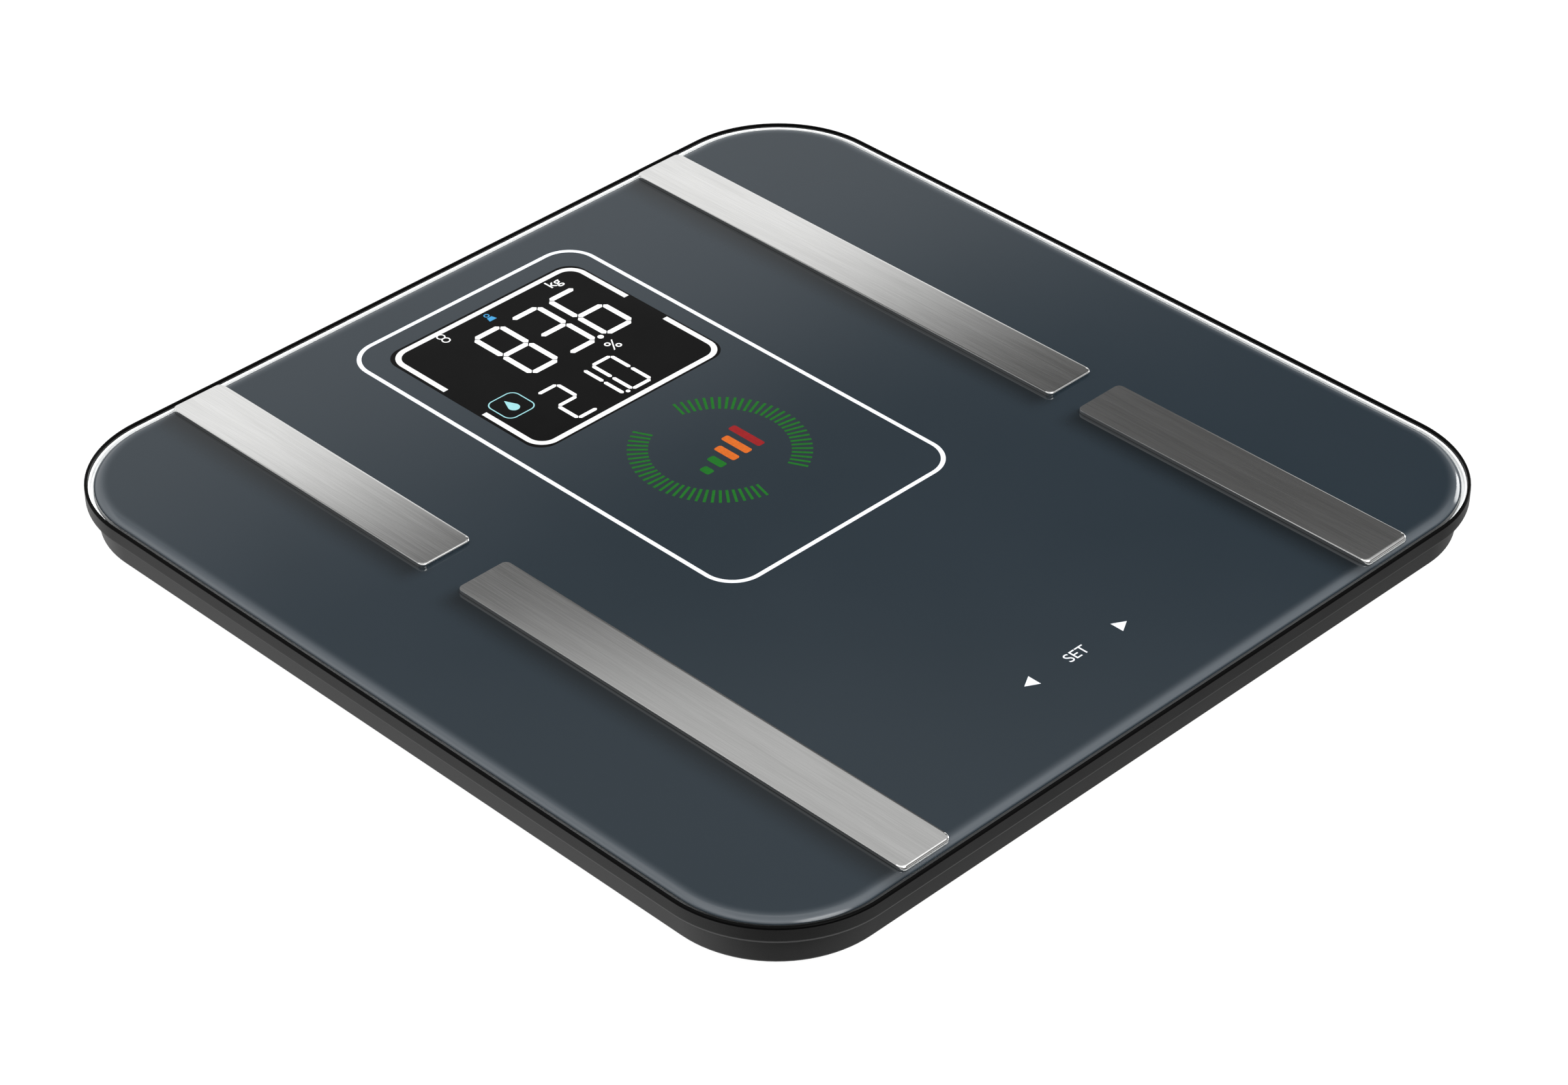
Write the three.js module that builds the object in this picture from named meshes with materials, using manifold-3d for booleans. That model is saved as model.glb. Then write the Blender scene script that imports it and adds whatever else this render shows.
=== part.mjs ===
// Digital body-analyser bathroom scale: a glass platform in a plastic tray, four brushed steel
// electrode strips on top, and a lower cover with four load-cell feet, the electronics and the
// battery bay. Millimetres, +Z up. The origin is on the floor, below the centre of the platform.
// +Y points to the display end and +X is the reading direction of the display.

import * as THREE from "three";
import { mergeVertices } from "three/addons/utils/BufferGeometryUtils.js";
import Module from "manifold-3d";

const wasm = await Module();
wasm.setup();

// ---- driving dimensions -----------------------------------------------------------------------

// Overall body
const bodyWidth = 320;
const cornerRadius = 39.5;
const bodyHeight = 15.2;
const underClearance = 6.5;

// Clearances between neighbours
const seatGap = 0.1;
const fitGap = 0.3;
const slideGap = 0.4;

// Glass platform
const glassThickness = 5;
const glassInset = 2.8;
const shoulderWidth = 2.7;
const shoulderDrop = 1.25;
const glassChamfer = 0.5;
const bondThickness = 0.2;
const bondInset = 6;

// Light seal ring between glass and rim
const sealTopDrop = 1.1;
const sealLowDrop = 2.6;
const sealFootDrop = 3.2;

// Upper tray with its rim and skirt
const lipThickness = 1;
const lipRound = 0.45;
const skirtDepth = 4.3;
const skirtTuckHeight = 2.3;
const skirtTuckWidth = 3.5;
const trayFloor = 1.7;
const locatingWall = 1.5;
const locatingDepth = 1.6;

// Lower cover
const coverWall = 2;
const coverFloor = 1.8;
const coverChamfer = 0.8;
const partingGap = 0.2;

// Electrode strips
const stripWidth = 19.5;
const stripThickness = 1.2;
const stripCorner = 2;
const stripBevel = 0.2;
const stripInset = 61.2;
const stripEndInset = 3.6;
const leftGapCentre = 31.3;
const leftGapWidth = 15.2;
const rightGapCentre = -36.2;
const rightGapWidth = 11.1;
const studRadius = 1.6;
const studInset = 90;
const studBelowTray = 1;

// Display, its holder and the main board
const displayShift = -2.8;
const displayInset = 64.4;
const displayWidth = 70;
const displayLength = 63;
const displayThickness = 1.8;
const holderWall = 2.4;
const lightGuideThickness = 1.4;
const boardSideMargin = 7;
const boardEndMargin = 5.5;
const boardThickness = 1.2;
const processorSize = 12;
const processorThickness = 1;
const radioWidth = 16;
const radioLength = 12;
const radioThickness = 1.4;

// Touch keys
const touchShift = -2.7;
const touchInset = 36;
const touchPitch = 19.6;
const touchBoardMargin = 14;
const touchBoardLength = 13;
const touchBoardThickness = 0.8;
const keyPadRadius = 4.5;
const keyPadThickness = 0.4;
const ribbonInset = 1;
const ribbonWidth = 8;
const ribbonThickness = 0.3;
const ribbonLap = 4;

// Coin cells, contacts and the battery door
const cellRadius = 10;
const cellThickness = 3.2;
const cellRim = 0.4;
const cellPitch = 27;
const bayMargin = 2.2;
const bayWall = 3.4;
const bayRoof = 1.1;
const leafLength = 14;
const leafWidth = 4;
const leafThickness = 0.3;
const tabWidth = 5;
const doorOverlap = 2.2;
const doorThickness = 1.5;
const hingePinRadius = 0.5;
const hingePinReach = 1.6;
const latchWidth = 8;
const latchThickness = 0.9;
const latchHeight = 3;
const gripWidth = 16;
const gripGroove = 1.2;
const gripDepth = 0.5;
const gripPitch = 2.5;
const gripCount = 3;

// Unit button and its switch
const buttonFromDisplay = new THREE.Vector2(24, -22);
const buttonRadius = 3.2;
const buttonSink = 0.3;
const buttonFlange = 1.4;
const buttonFlangeThickness = 0.6;
const buttonTravel = 0.8;
const switchSize = 6;
const switchHeight = 1.2;
const plungerRadius = 1.4;

// Feet and load cells
const footInset = 40;
const footRadius = 20.5;
const footBevel = 1.5;
const footFlange = 2.6;
const flangeThickness = 1;
const footStem = 5;
const padRadius = 16;
const padProud = 1.6;
const padSunk = 0.8;
const padBevel = 0.6;
const loadCellSize = 34;
const loadCellThickness = 1.2;
const loadCellBorder = 4;
const loadCellSlot = 1.6;
const loadCellRound = 2;
const carrierWall = 3.6;
const carrierRound = 3;
const carrierLedge = 1.6;
const cellDeflection = 0.7;

// Cover screws
const screwAcross = 66;
const screwInset = 18;
const screwRadius = 1.4;
const screwHeadRadius = 3;
const screwHeadHeight = 1.4;
const screwBossWall = 2.2;
const screwBossLift = 1.2;
const screwSeatWall = 1;
const screwEngagement = 3;
const screwHeadSink = 0.3;
const screwHeadBevel = 0.4;
const driveRadius = 1.5;
const driveDepth = 0.9;
const driveSlot = 0.7;

// Leads
const leadRadius = 0.6;
const leadStep = 8;
const leadNotch = 5;
const leadExit = 8;
const leadStraight = 2;
const leadBend = 5;
const loadLaneInset = 80;
const electrodeLaneInset = 73;
const laneLift = 1.7;
const laneEntry = 26;
const laneDeparture = 40;
const boardApproach = 20;
const batteryLeadSpacing = 8;
const rearLoadTerminal = 40;
const rearElectrodeTerminal = 22;
const frontElectrodeTerminal = 12;
const frontLoadTerminal = 4;

// ---- levels worked out from them --------------------------------------------------------------

const half = bodyWidth / 2;
const footPlace = half - footInset;
const stripPlace = half - stripInset;
const studPlace = half - studInset;
const displayCentre = new THREE.Vector2(displayShift, half - displayInset);
const boardWidth = displayWidth + 2 * boardSideMargin;
const boardLength = displayLength + 2 * boardEndMargin;
const touchRow = touchInset - half;
const touchBoardWidth = 2 * (touchPitch + keyPadRadius + touchBoardMargin);
const buttonCentre = displayCentre.clone().add(buttonFromDisplay);
const coverBottom = underClearance;
const coverInside = coverBottom + coverFloor;
const glassTop = underClearance + bodyHeight;
const glassBottom = glassTop - glassThickness;
const trayTop = glassBottom - bondThickness - 2 * seatGap;
const trayUnder = trayTop - trayFloor;
const skirtBottom = glassTop - skirtDepth - skirtTuckHeight;
const coverTop = skirtBottom - partingGap;
const loadCellTop = trayUnder - cellDeflection;
const loadCellBottom = loadCellTop - loadCellThickness;
const carrierBottom = loadCellBottom - seatGap - carrierLedge;
const flangeBottom = coverInside + seatGap;
const displayTop = glassBottom - seatGap;
const displayBottom = displayTop - displayThickness;
const lightGuideTop = displayBottom - seatGap;
const boardTop = lightGuideTop - lightGuideThickness - seatGap;
const boardBottom = boardTop - boardThickness;
const bayTop = trayUnder - fitGap;
const doorTop = coverBottom + doorThickness;
const cellBottom = coverInside + seatGap;
const cellTop = cellBottom + cellThickness;
const displayOpening = new THREE.Vector2(
  displayWidth + 2 * (holderWall + fitGap),
  displayLength + 2 * (holderWall + fitGap),
);
const touchOpening = new THREE.Vector2(touchBoardWidth + 4 * fitGap, touchBoardLength + 4 * fitGap);
const corners = [
  { name: "rear_left", x: -1, y: 1 },
  { name: "rear_right", x: 1, y: 1 },
  { name: "front_left", x: -1, y: -1 },
  { name: "front_right", x: 1, y: -1 },
];

// ---- finishes ---------------------------------------------------------------------------------

const finish = (color, roughness, metalness) => ({ color, roughness, metalness });
const slateGlass = finish(0x39434b, 0.12, 0);
const sealWhite = finish(0xf2f3f3, 0.45, 0);
const foamGrey = finish(0x2b2b2d, 0.95, 0);
const trayPlastic = finish(0x3c3d3f, 0.5, 0);
const coverPlastic = finish(0x2a2b2c, 0.6, 0);
const brushedSteel = finish(0xc4c4c2, 0.32, 1);
const displayBlack = finish(0x141617, 0.15, 0);
const holderWhite = finish(0xd9d9d6, 0.6, 0);
const guideClear = finish(0xe8eef0, 0.2, 0);
const boardGreen = finish(0x1f5c3a, 0.55, 0);
const chipBlack = finish(0x1a1a1b, 0.5, 0);
const canSteel = finish(0xb5b8ba, 0.35, 1);
const padCopper = finish(0xb87b4b, 0.35, 1);
const springSteel = finish(0xc9c7bb, 0.3, 1);
const doorPlastic = finish(0x262728, 0.6, 0);
const buttonGrey = finish(0x7b7e80, 0.55, 0);
const cellSteel = finish(0x9da1a4, 0.35, 1);
const footPlastic = finish(0x1d1e1f, 0.6, 0);
const rubberBlack = finish(0x121212, 0.9, 0);
const screwSteel = finish(0x8f9294, 0.35, 1);
const leadRed = finish(0xa32420, 0.5, 0);
const leadBlack = finish(0x18181a, 0.5, 0);
const leadWhite = finish(0xd8d8d6, 0.5, 0);
const ribbonAmber = finish(0xb9772c, 0.4, 0);

// ---- shapes -----------------------------------------------------------------------------------

const cornerSteps = 8;
const roundSides = 20;
const smallSides = 10;

// A rectangle with rounded corners about the origin.
function roundedShape(width, length, radius) {
  const x = width / 2 - radius;
  const y = length / 2 - radius;
  const shape = new THREE.Shape();
  shape.absarc(x, y, radius, 0, Math.PI / 2);
  shape.absarc(-x, y, radius, Math.PI / 2, Math.PI);
  shape.absarc(-x, -y, radius, Math.PI, 1.5 * Math.PI);
  shape.absarc(x, -y, radius, 1.5 * Math.PI, 2 * Math.PI);
  return shape;
}

// An upright prism of a shape between two heights.
function prism(shape, low, high, curveSegments = 3) {
  const options = { depth: high - low, bevelEnabled: false, curveSegments };
  return new THREE.ExtrudeGeometry(shape, options).translate(0, 0, low);
}

function roundedBlock(width, length, radius, low, high) {
  return prism(roundedShape(width, length, radius), low, high);
}

function block(width, length, low, high) {
  return new THREE.BoxGeometry(width, length, high - low).translate(0, 0, (low + high) / 2);
}

function disc(radius, low, high, sides = roundSides) {
  const geometry = new THREE.CylinderGeometry(radius, radius, high - low, sides);
  return geometry.rotateX(Math.PI / 2).translate(0, 0, (low + high) / 2);
}

// A turned solid from a profile of [radius, height] pairs that starts and ends on the axis.
function turned(profile, sides = roundSides) {
  const points = profile.map(([radius, height]) => new THREE.Vector2(radius, height));
  return new THREE.LatheGeometry(points, sides).rotateX(Math.PI / 2);
}

// A solid of rounded squares stacked from bottom to top. Each level says how far its outline lies
// from the body's outer outline (negative is inwards) and its height.
function stacked(levels) {
  const centre = half - cornerRadius;
  const positions = [];
  const triangles = [];
  const perRing = 4 * (cornerSteps + 1);
  for (const [grow, height] of levels) {
    for (let quarter = 0; quarter < 4; quarter += 1) {
      const middle = (quarter + 0.5) * Math.PI / 2;
      const cx = centre * Math.sign(Math.cos(middle));
      const cy = centre * Math.sign(Math.sin(middle));
      for (let step = 0; step <= cornerSteps; step += 1) {
        const angle = (quarter + step / cornerSteps) * Math.PI / 2;
        const radius = cornerRadius + grow;
        positions.push(cx + radius * Math.cos(angle), cy + radius * Math.sin(angle), height);
      }
    }
  }
  for (let ring = 0; ring + 1 < levels.length; ring += 1) {
    for (let side = 0; side < perRing; side += 1) {
      const a = ring * perRing + side;
      const b = ring * perRing + (side + 1) % perRing;
      triangles.push(a, b, b + perRing, a, b + perRing, a + perRing);
    }
  }
  const bottom = positions.length / 3;
  const top = bottom + 1;
  const lastRing = (levels.length - 1) * perRing;
  positions.push(0, 0, levels[0][1], 0, 0, levels[levels.length - 1][1]);
  for (let side = 0; side < perRing; side += 1) {
    const next = (side + 1) % perRing;
    triangles.push(bottom, next, side, top, lastRing + side, lastRing + next);
  }
  const geometry = new THREE.BufferGeometry();
  geometry.setAttribute("position", new THREE.Float32BufferAttribute(positions, 3));
  geometry.setIndex(triangles);
  return geometry;
}

// A prism along X of a shape drawn in Y and Z.
function alongX(shape, low, high) {
  const geometry = prism(shape, 0, high - low, 6);
  return geometry.rotateY(Math.PI / 2).rotateX(Math.PI / 2).translate(low, 0, 0);
}

// A prism along Y of a shape drawn in X and Z.
function alongY(shape, low, high) {
  return prism(shape, 0, high - low, 6).rotateX(Math.PI / 2).translate(0, high, 0);
}

// A round lead along smooth points, with a step about every eight millimetres.
function lead(points) {
  const path = new THREE.CatmullRomCurve3(points.map((point) => new THREE.Vector3(...point)));
  const section = new THREE.Shape().absarc(0, 0, leadRadius, 0, 2 * Math.PI);
  const steps = Math.ceil(path.getLength() / leadStep);
  const options = { steps, curveSegments: 6, bevelEnabled: false, extrudePath: path };
  return new THREE.ExtrudeGeometry(section, options);
}

const at = (geometry, x, y, z = 0) => geometry.clone().translate(x, y, z);

function toSolid(geometry) {
  const bare = geometry.clone();
  for (const name of ["normal", "uv"]) {
    bare.deleteAttribute(name);
  }
  const merged = mergeVertices(bare, 1e-4);
  const vertProperties = merged.getAttribute("position").array;
  const triVerts = Uint32Array.from(merged.getIndex().array);
  return new wasm.Manifold(new wasm.Mesh({ numProp: 3, vertProperties, triVerts }));
}

// The base with everything in added joined to it, then everything in removed cut away.
function carve(base, added, removed) {
  let solid = toSolid(base);
  for (const geometry of added) {
    solid = solid.add(toSolid(geometry));
  }
  for (const geometry of removed) {
    solid = solid.subtract(toSolid(geometry));
  }
  const mesh = solid.getMesh();
  const geometry = new THREE.BufferGeometry();
  geometry.setAttribute("position", new THREE.BufferAttribute(mesh.vertProperties, 3));
  geometry.setIndex(new THREE.BufferAttribute(mesh.triVerts, 1));
  return geometry;
}

const scale = new THREE.Group();

function place(name, geometry, material, x = 0, y = 0, z = 0) {
  const mesh = new THREE.Mesh(geometry, new THREE.MeshStandardMaterial({ ...material, flatShading: true }));
  mesh.name = name;
  mesh.position.set(x, y, z);
  scale.add(mesh);
  return mesh;
}

// How far past a face a cutting tool reaches, so that it leaves no skin.
const pastFace = 1;
// How far a joined piece sinks into the one that carries it.
const rooted = 0.3;

// ---- electrode strips -------------------------------------------------------------------------

const stripEnd = half - stripEndInset;
const strips = [
  { name: "rear_left", side: -1, end: 1, low: leftGapCentre + leftGapWidth / 2, high: stripEnd },
  { name: "front_left", side: -1, end: -1, low: -stripEnd, high: leftGapCentre - leftGapWidth / 2 },
  { name: "rear_right", side: 1, end: 1, low: rightGapCentre + rightGapWidth / 2, high: stripEnd },
  { name: "front_right", side: 1, end: -1, low: -stripEnd, high: rightGapCentre - rightGapWidth / 2 },
];
const studPlaces = strips.map(({ side, end }) => [side * stripPlace, end * studPlace]);
const studBottom = trayUnder - studBelowTray;
const stripBottom = glassTop + seatGap;

function electrodeStrip(length, studY) {
  const flat = 2 * stripBevel;
  const outline = roundedShape(stripWidth - flat, length - flat, stripCorner - stripBevel);
  const plate = new THREE.ExtrudeGeometry(outline, {
    depth: stripThickness - flat,
    bevelThickness: stripBevel,
    bevelSize: stripBevel,
    bevelSegments: 1,
    curveSegments: 4,
  }).translate(0, 0, stripBottom + stripBevel);
  const stud = at(disc(studRadius, studBottom, stripBottom + rooted, smallSides), 0, studY);
  return carve(plate, [stud], []);
}

for (const { name, side, end, low, high } of strips) {
  const middle = (low + high) / 2;
  const geometry = electrodeStrip(high - low, end * studPlace - middle);
  place(`electrode_${name}`, geometry, brushedSteel, side * stripPlace, middle);
}

// ---- glass platform, its bond and the light seal ring ------------------------------------------

const studHoles = (low, high, clearance) => studPlaces.map(
  ([x, y]) => at(disc(studRadius + clearance, low, high, smallSides), x, y),
);

function glassPlatform() {
  const levels = [
    [-glassInset - glassChamfer, glassBottom],
    [-glassInset, glassBottom + glassChamfer],
  ];
  const shoulderSteps = 5;
  for (let step = shoulderSteps; step >= 0; step -= 1) {
    const share = step / shoulderSteps;
    levels.push([-glassInset - shoulderWidth * (1 - share), glassTop - shoulderDrop * share ** 2]);
  }
  return carve(stacked(levels), [], studHoles(glassBottom - pastFace, glassTop + pastFace, fitGap));
}

function bondSheet() {
  const low = trayTop + seatGap;
  const high = low + bondThickness;
  const sheet = stacked([[-bondInset, low], [-bondInset, high]]);
  const past = (width, length) => block(width, length, low - pastFace, high + pastFace);
  return carve(sheet, [], [
    at(past(displayOpening.x, displayOpening.y), displayCentre.x, displayCentre.y),
    at(past(touchOpening.x, touchOpening.y), touchShift, touchRow),
    ...studHoles(low - pastFace, high + pastFace, 2 * fitGap),
  ]);
}

function sealRing() {
  const outer = -lipThickness - seatGap;
  const inner = -glassInset + seatGap;
  const low = glassTop - sealFootDrop;
  const ring = stacked([[outer, low], [outer, glassTop - sealTopDrop]]);
  const bore = stacked([
    [inner, low - pastFace],
    [inner, glassTop - sealLowDrop],
    [outer, glassTop - sealTopDrop],
    [outer, glassTop + pastFace],
  ]);
  return carve(ring, [], [bore]);
}

place("glass_platform", glassPlatform(), slateGlass);
place("bond_sheet", bondSheet(), foamGrey);
place("seal_ring", sealRing(), sealWhite);

// ---- feet and load cells ----------------------------------------------------------------------

const stemTop = loadCellBottom - seatGap;
const carrierSize = loadCellSize + 2 * (fitGap + carrierWall);

function footCap() {
  return turned([
    [0, padProud + padSunk],
    [padRadius + seatGap, padProud + padSunk],
    [padRadius + seatGap, padProud],
    [footRadius - footBevel, padProud],
    [footRadius, padProud + footBevel],
    [footRadius, flangeBottom],
    [footRadius + footFlange, flangeBottom],
    [footRadius + footFlange, flangeBottom + flangeThickness],
    [footStem, flangeBottom + flangeThickness],
    [footStem, stemTop],
    [0, stemTop],
  ]);
}

function footPad() {
  return turned([
    [0, 0],
    [padRadius - padBevel, 0],
    [padRadius, padBevel],
    [padRadius, padProud + padSunk - seatGap],
    [0, padProud + padSunk - seatGap],
  ]);
}

// A stamped square plate with a U-shaped slot that frees a tongue in its middle.
function loadCell() {
  const plate = roundedShape(loadCellSize, loadCellSize, loadCellRound);
  const outer = loadCellSize / 2 - loadCellBorder;
  const inner = outer - loadCellSlot;
  const slot = new THREE.Path();
  slot.moveTo(-outer, outer);
  slot.lineTo(-outer, -outer);
  slot.lineTo(outer, -outer);
  slot.lineTo(outer, outer);
  slot.lineTo(inner, outer);
  slot.lineTo(inner, -inner);
  slot.lineTo(-inner, -inner);
  slot.lineTo(-inner, outer);
  slot.closePath();
  plate.holes.push(slot);
  return prism(plate, loadCellBottom, loadCellTop);
}

// A square frame that holds the load cell by its border, open below its tongue, with a notch for
// the lead in the side that faces the middle of the scale.
function loadCellCarrier(towardsCentre, towardsMiddle) {
  const opening = loadCellSize - loadCellBorder;
  const pocket = loadCellSize + 2 * fitGap;
  const high = trayUnder - seatGap;
  const frame = roundedBlock(carrierSize, carrierSize, carrierRound, carrierBottom, high);
  const seat = loadCellBottom - seatGap;
  const notch = block(carrierSize, leadNotch, seat, high + pastFace);
  return carve(frame, [], [
    block(opening, opening, carrierBottom - pastFace, high + pastFace),
    roundedBlock(pocket, pocket, loadCellRound, seat, high + pastFace),
    at(notch, towardsCentre * carrierSize / 2, towardsMiddle * leadExit),
  ]);
}

for (const { name, x, y } of corners) {
  const footX = x * footPlace;
  const footY = y * footPlace;
  place(`foot_cap_${name}`, footCap(), footPlastic, footX, footY);
  place(`foot_pad_${name}`, footPad(), rubberBlack, footX, footY);
  place(`load_cell_${name}`, loadCell(), cellSteel, footX, footY);
  place(`load_cell_carrier_${name}`, loadCellCarrier(-x, -y), holderWhite, footX, footY);
}

// ---- upper tray -------------------------------------------------------------------------------

const screwPlaces = corners.map(({ x, y }) => [x * screwAcross, y * (half - screwInset)]);
const atScrews = (geometry) => screwPlaces.map(([x, y]) => at(geometry, x, y));
const atFeet = (geometry) => corners.map(({ x, y }) => at(geometry, x * footPlace, y * footPlace));
const screwBossRadius = screwRadius + screwBossWall;
const screwBossBottom = coverInside + screwBossLift;
const screwHeadBottom = coverBottom + screwHeadSink;
const screwTop = screwBossBottom + screwEngagement;

// A square rib that presses on the load cell's border.
function pressRib() {
  const outer = loadCellSize - 2 * fitGap;
  const inner = outer - loadCellBorder;
  const low = loadCellTop + seatGap;
  const high = trayUnder + rooted;
  return carve(block(outer, outer, low, high), [], [block(inner, inner, low - pastFace, high + pastFace)]);
}

function upperTray() {
  const innerWall = -skirtTuckWidth - coverWall - fitGap;
  const levels = [
    [innerWall, trayUnder - locatingDepth],
    [innerWall, skirtBottom],
  ];
  const tuckSteps = 4;
  for (let step = 0; step <= tuckSteps; step += 1) {
    const angle = step / tuckSteps * Math.PI / 2;
    levels.push([
      -skirtTuckWidth * (1 - Math.sin(angle)),
      skirtBottom + skirtTuckHeight * (1 - Math.cos(angle)),
    ]);
  }
  const roundShare = 1 - Math.SQRT1_2;
  levels.push([0, glassTop - lipRound]);
  levels.push([-roundShare * lipRound, glassTop - roundShare * lipRound]);
  levels.push([-lipRound, glassTop]);
  const sealSeat = glassTop - sealFootDrop - seatGap;
  const under = innerWall - locatingWall;
  const window = (opening) => block(opening.x, opening.y, trayUnder - pastFace, trayTop + pastFace);
  const post = disc(screwBossRadius, screwBossBottom, trayUnder + rooted);
  const pilot = disc(screwRadius + seatGap, screwBossBottom - pastFace, screwTop + fitGap, smallSides);
  const carrierRoom = carrierSize + 2 * fitGap;
  const wallRelief = block(carrierRoom, carrierRoom, trayUnder - locatingDepth - pastFace, trayUnder);
  const hollow = carve(stacked(levels), [], [
    stacked([[-lipThickness, sealSeat], [-lipThickness, glassTop + pastFace]]),
    stacked([[-glassInset + seatGap, trayTop], [-glassInset + seatGap, glassTop + pastFace]]),
    stacked([[under, trayUnder - locatingDepth - pastFace], [under, trayUnder]]),
    at(window(displayOpening), displayCentre.x, displayCentre.y),
    at(window(touchOpening), touchShift, touchRow),
    ...atFeet(wallRelief),
    ...studHoles(trayUnder - pastFace, trayTop + pastFace, 2 * fitGap),
  ]);
  return carve(hollow, [...atScrews(post), ...atFeet(pressRib())], atScrews(pilot));
}

place("upper_tray", upperTray(), trayPlastic);

// ---- lower cover, screws and battery bay -------------------------------------------------------

const bayWidth = cellPitch + 2 * (cellRadius + bayMargin);
const bayLength = 2 * (cellRadius + bayMargin);
const doorWidth = bayWidth + 2 * doorOverlap;
const doorLength = bayLength + 2 * doorOverlap;
const doorHoleWidth = doorWidth + 2 * slideGap;
const doorHoleLength = doorLength + 2 * slideGap;
const hingeY = -doorLength / 2 + doorThickness / 2;
const hingeZ = (coverBottom + doorTop) / 2;

function lowerCover() {
  const outer = -skirtTuckWidth;
  const inner = outer - coverWall;
  const outside = stacked([
    [outer - coverChamfer, coverBottom],
    [outer, coverBottom + coverChamfer],
    [outer, coverTop],
  ]);
  const inside = stacked([[inner, coverInside], [inner, coverTop + pastFace]]);
  const bay = block(bayWidth + 2 * bayWall, bayLength + 2 * bayWall, coverInside - rooted, bayTop);
  const seatRadius = screwHeadRadius + fitGap + screwSeatWall;
  const seat = disc(seatRadius, coverInside - rooted, screwBossBottom - seatGap);
  const footHole = disc(footRadius + slideGap, coverBottom - pastFace, coverInside + pastFace);
  const headTop = screwHeadBottom + screwHeadHeight + seatGap;
  const headHole = disc(screwHeadRadius + fitGap, coverBottom - pastFace, headTop);
  const shankTop = screwBossBottom + pastFace;
  const shankHole = disc(screwRadius + fitGap, coverBottom - pastFace, shankTop, smallSides);
  const buttonHole = disc(buttonRadius + slideGap, coverBottom - pastFace, coverInside + pastFace);
  const pinWidth = doorHoleWidth + 2 * (hingePinReach + seatGap);
  const pinSlot = 2 * (hingePinRadius + seatGap);
  return carve(carve(outside, [], [inside]), [bay, ...atScrews(seat)], [
    block(bayWidth, bayLength, coverBottom - pastFace, bayTop - bayRoof),
    block(doorHoleWidth, doorHoleLength, coverBottom - pastFace, doorTop + seatGap),
    at(block(pinWidth, pinSlot, coverBottom - pastFace, hingeZ + hingePinRadius + seatGap), 0, hingeY),
    ...atFeet(footHole),
    ...atScrews(headHole),
    ...atScrews(shankHole),
    at(buttonHole, buttonCentre.x, buttonCentre.y),
  ]);
}

place("lower_cover", lowerCover(), coverPlastic);

function coverScrew() {
  const head = turned([
    [0, screwHeadBottom],
    [screwHeadRadius - screwHeadBevel, screwHeadBottom],
    [screwHeadRadius, screwHeadBottom + screwHeadBevel],
    [screwHeadRadius, screwHeadBottom + screwHeadHeight],
    [screwRadius, screwHeadBottom + screwHeadHeight],
    [screwRadius, screwTop - screwRadius],
    [0, screwTop],
  ], smallSides);
  const low = screwHeadBottom - pastFace;
  const high = screwHeadBottom + driveDepth;
  return carve(head, [], [
    block(2 * driveRadius, driveSlot, low, high),
    block(driveSlot, 2 * driveRadius, low, high),
  ]);
}

screwPlaces.forEach(([x, y], index) => {
  place(`cover_screw_${corners[index].name}`, coverScrew(), screwSteel, x, y);
});

// The door closes the bay flush with the cover. Its front edge is half round about the hinge axis,
// with a pin at each end, and a latch finger stands up inside the bay at its rear.
function batteryDoor() {
  const side = new THREE.Shape();
  side.moveTo(hingeY, coverBottom);
  side.lineTo(doorLength / 2, coverBottom);
  side.lineTo(doorLength / 2, doorTop);
  side.lineTo(hingeY, doorTop);
  side.absarc(hingeY, hingeZ, doorThickness / 2, Math.PI / 2, 1.5 * Math.PI);
  const plate = alongX(side, -doorWidth / 2, doorWidth / 2);
  const pinHalf = doorWidth / 2 + slideGap + hingePinReach;
  const pinSection = new THREE.Shape().absarc(hingeY, hingeZ, hingePinRadius, 0, 2 * Math.PI);
  const pins = alongX(pinSection, -pinHalf, pinHalf);
  const latchY = bayLength / 2 - slideGap - fitGap - latchThickness / 2;
  const latch = at(block(latchWidth, latchThickness, doorTop - rooted, doorTop + latchHeight), 0, latchY);
  const grooves = [];
  for (let index = 0; index < gripCount; index += 1) {
    const y = doorLength / 2 - (index + 1.5) * gripPitch;
    grooves.push(at(block(gripWidth, gripGroove, coverBottom - pastFace, coverBottom + gripDepth), 0, y));
  }
  return carve(plate, [pins, latch], grooves);
}

place("battery_door", batteryDoor(), doorPlastic);

// ---- coin cells and their contacts --------------------------------------------------------------

function coinCell() {
  return turned([
    [0, cellBottom],
    [cellRadius - cellRim, cellBottom],
    [cellRadius, cellBottom + cellRim],
    [cellRadius, cellTop - 2 * cellRim],
    [cellRadius - 4 * cellRim, cellTop],
    [0, cellTop],
  ]);
}

// A bowed strip between the bay's roof and the top of a cell.
function bowedLeaf() {
  const high = bayTop - bayRoof - seatGap;
  const low = cellTop + seatGap;
  const reach = leafLength / 2;
  const flat = leafLength / 8;
  const shape = new THREE.Shape();
  shape.moveTo(-reach, high);
  shape.lineTo(-reach, high - leafThickness);
  shape.lineTo(-reach + flat, high - leafThickness);
  shape.quadraticCurveTo(0, 2 * low - high + leafThickness, reach - flat, high - leafThickness);
  shape.lineTo(reach, high - leafThickness);
  shape.lineTo(reach, high);
  shape.lineTo(reach - flat, high);
  shape.quadraticCurveTo(0, 2 * low - high + 2 * leafThickness, -reach + flat, high);
  return alongY(shape, -leafWidth / 2, leafWidth / 2);
}

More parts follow.
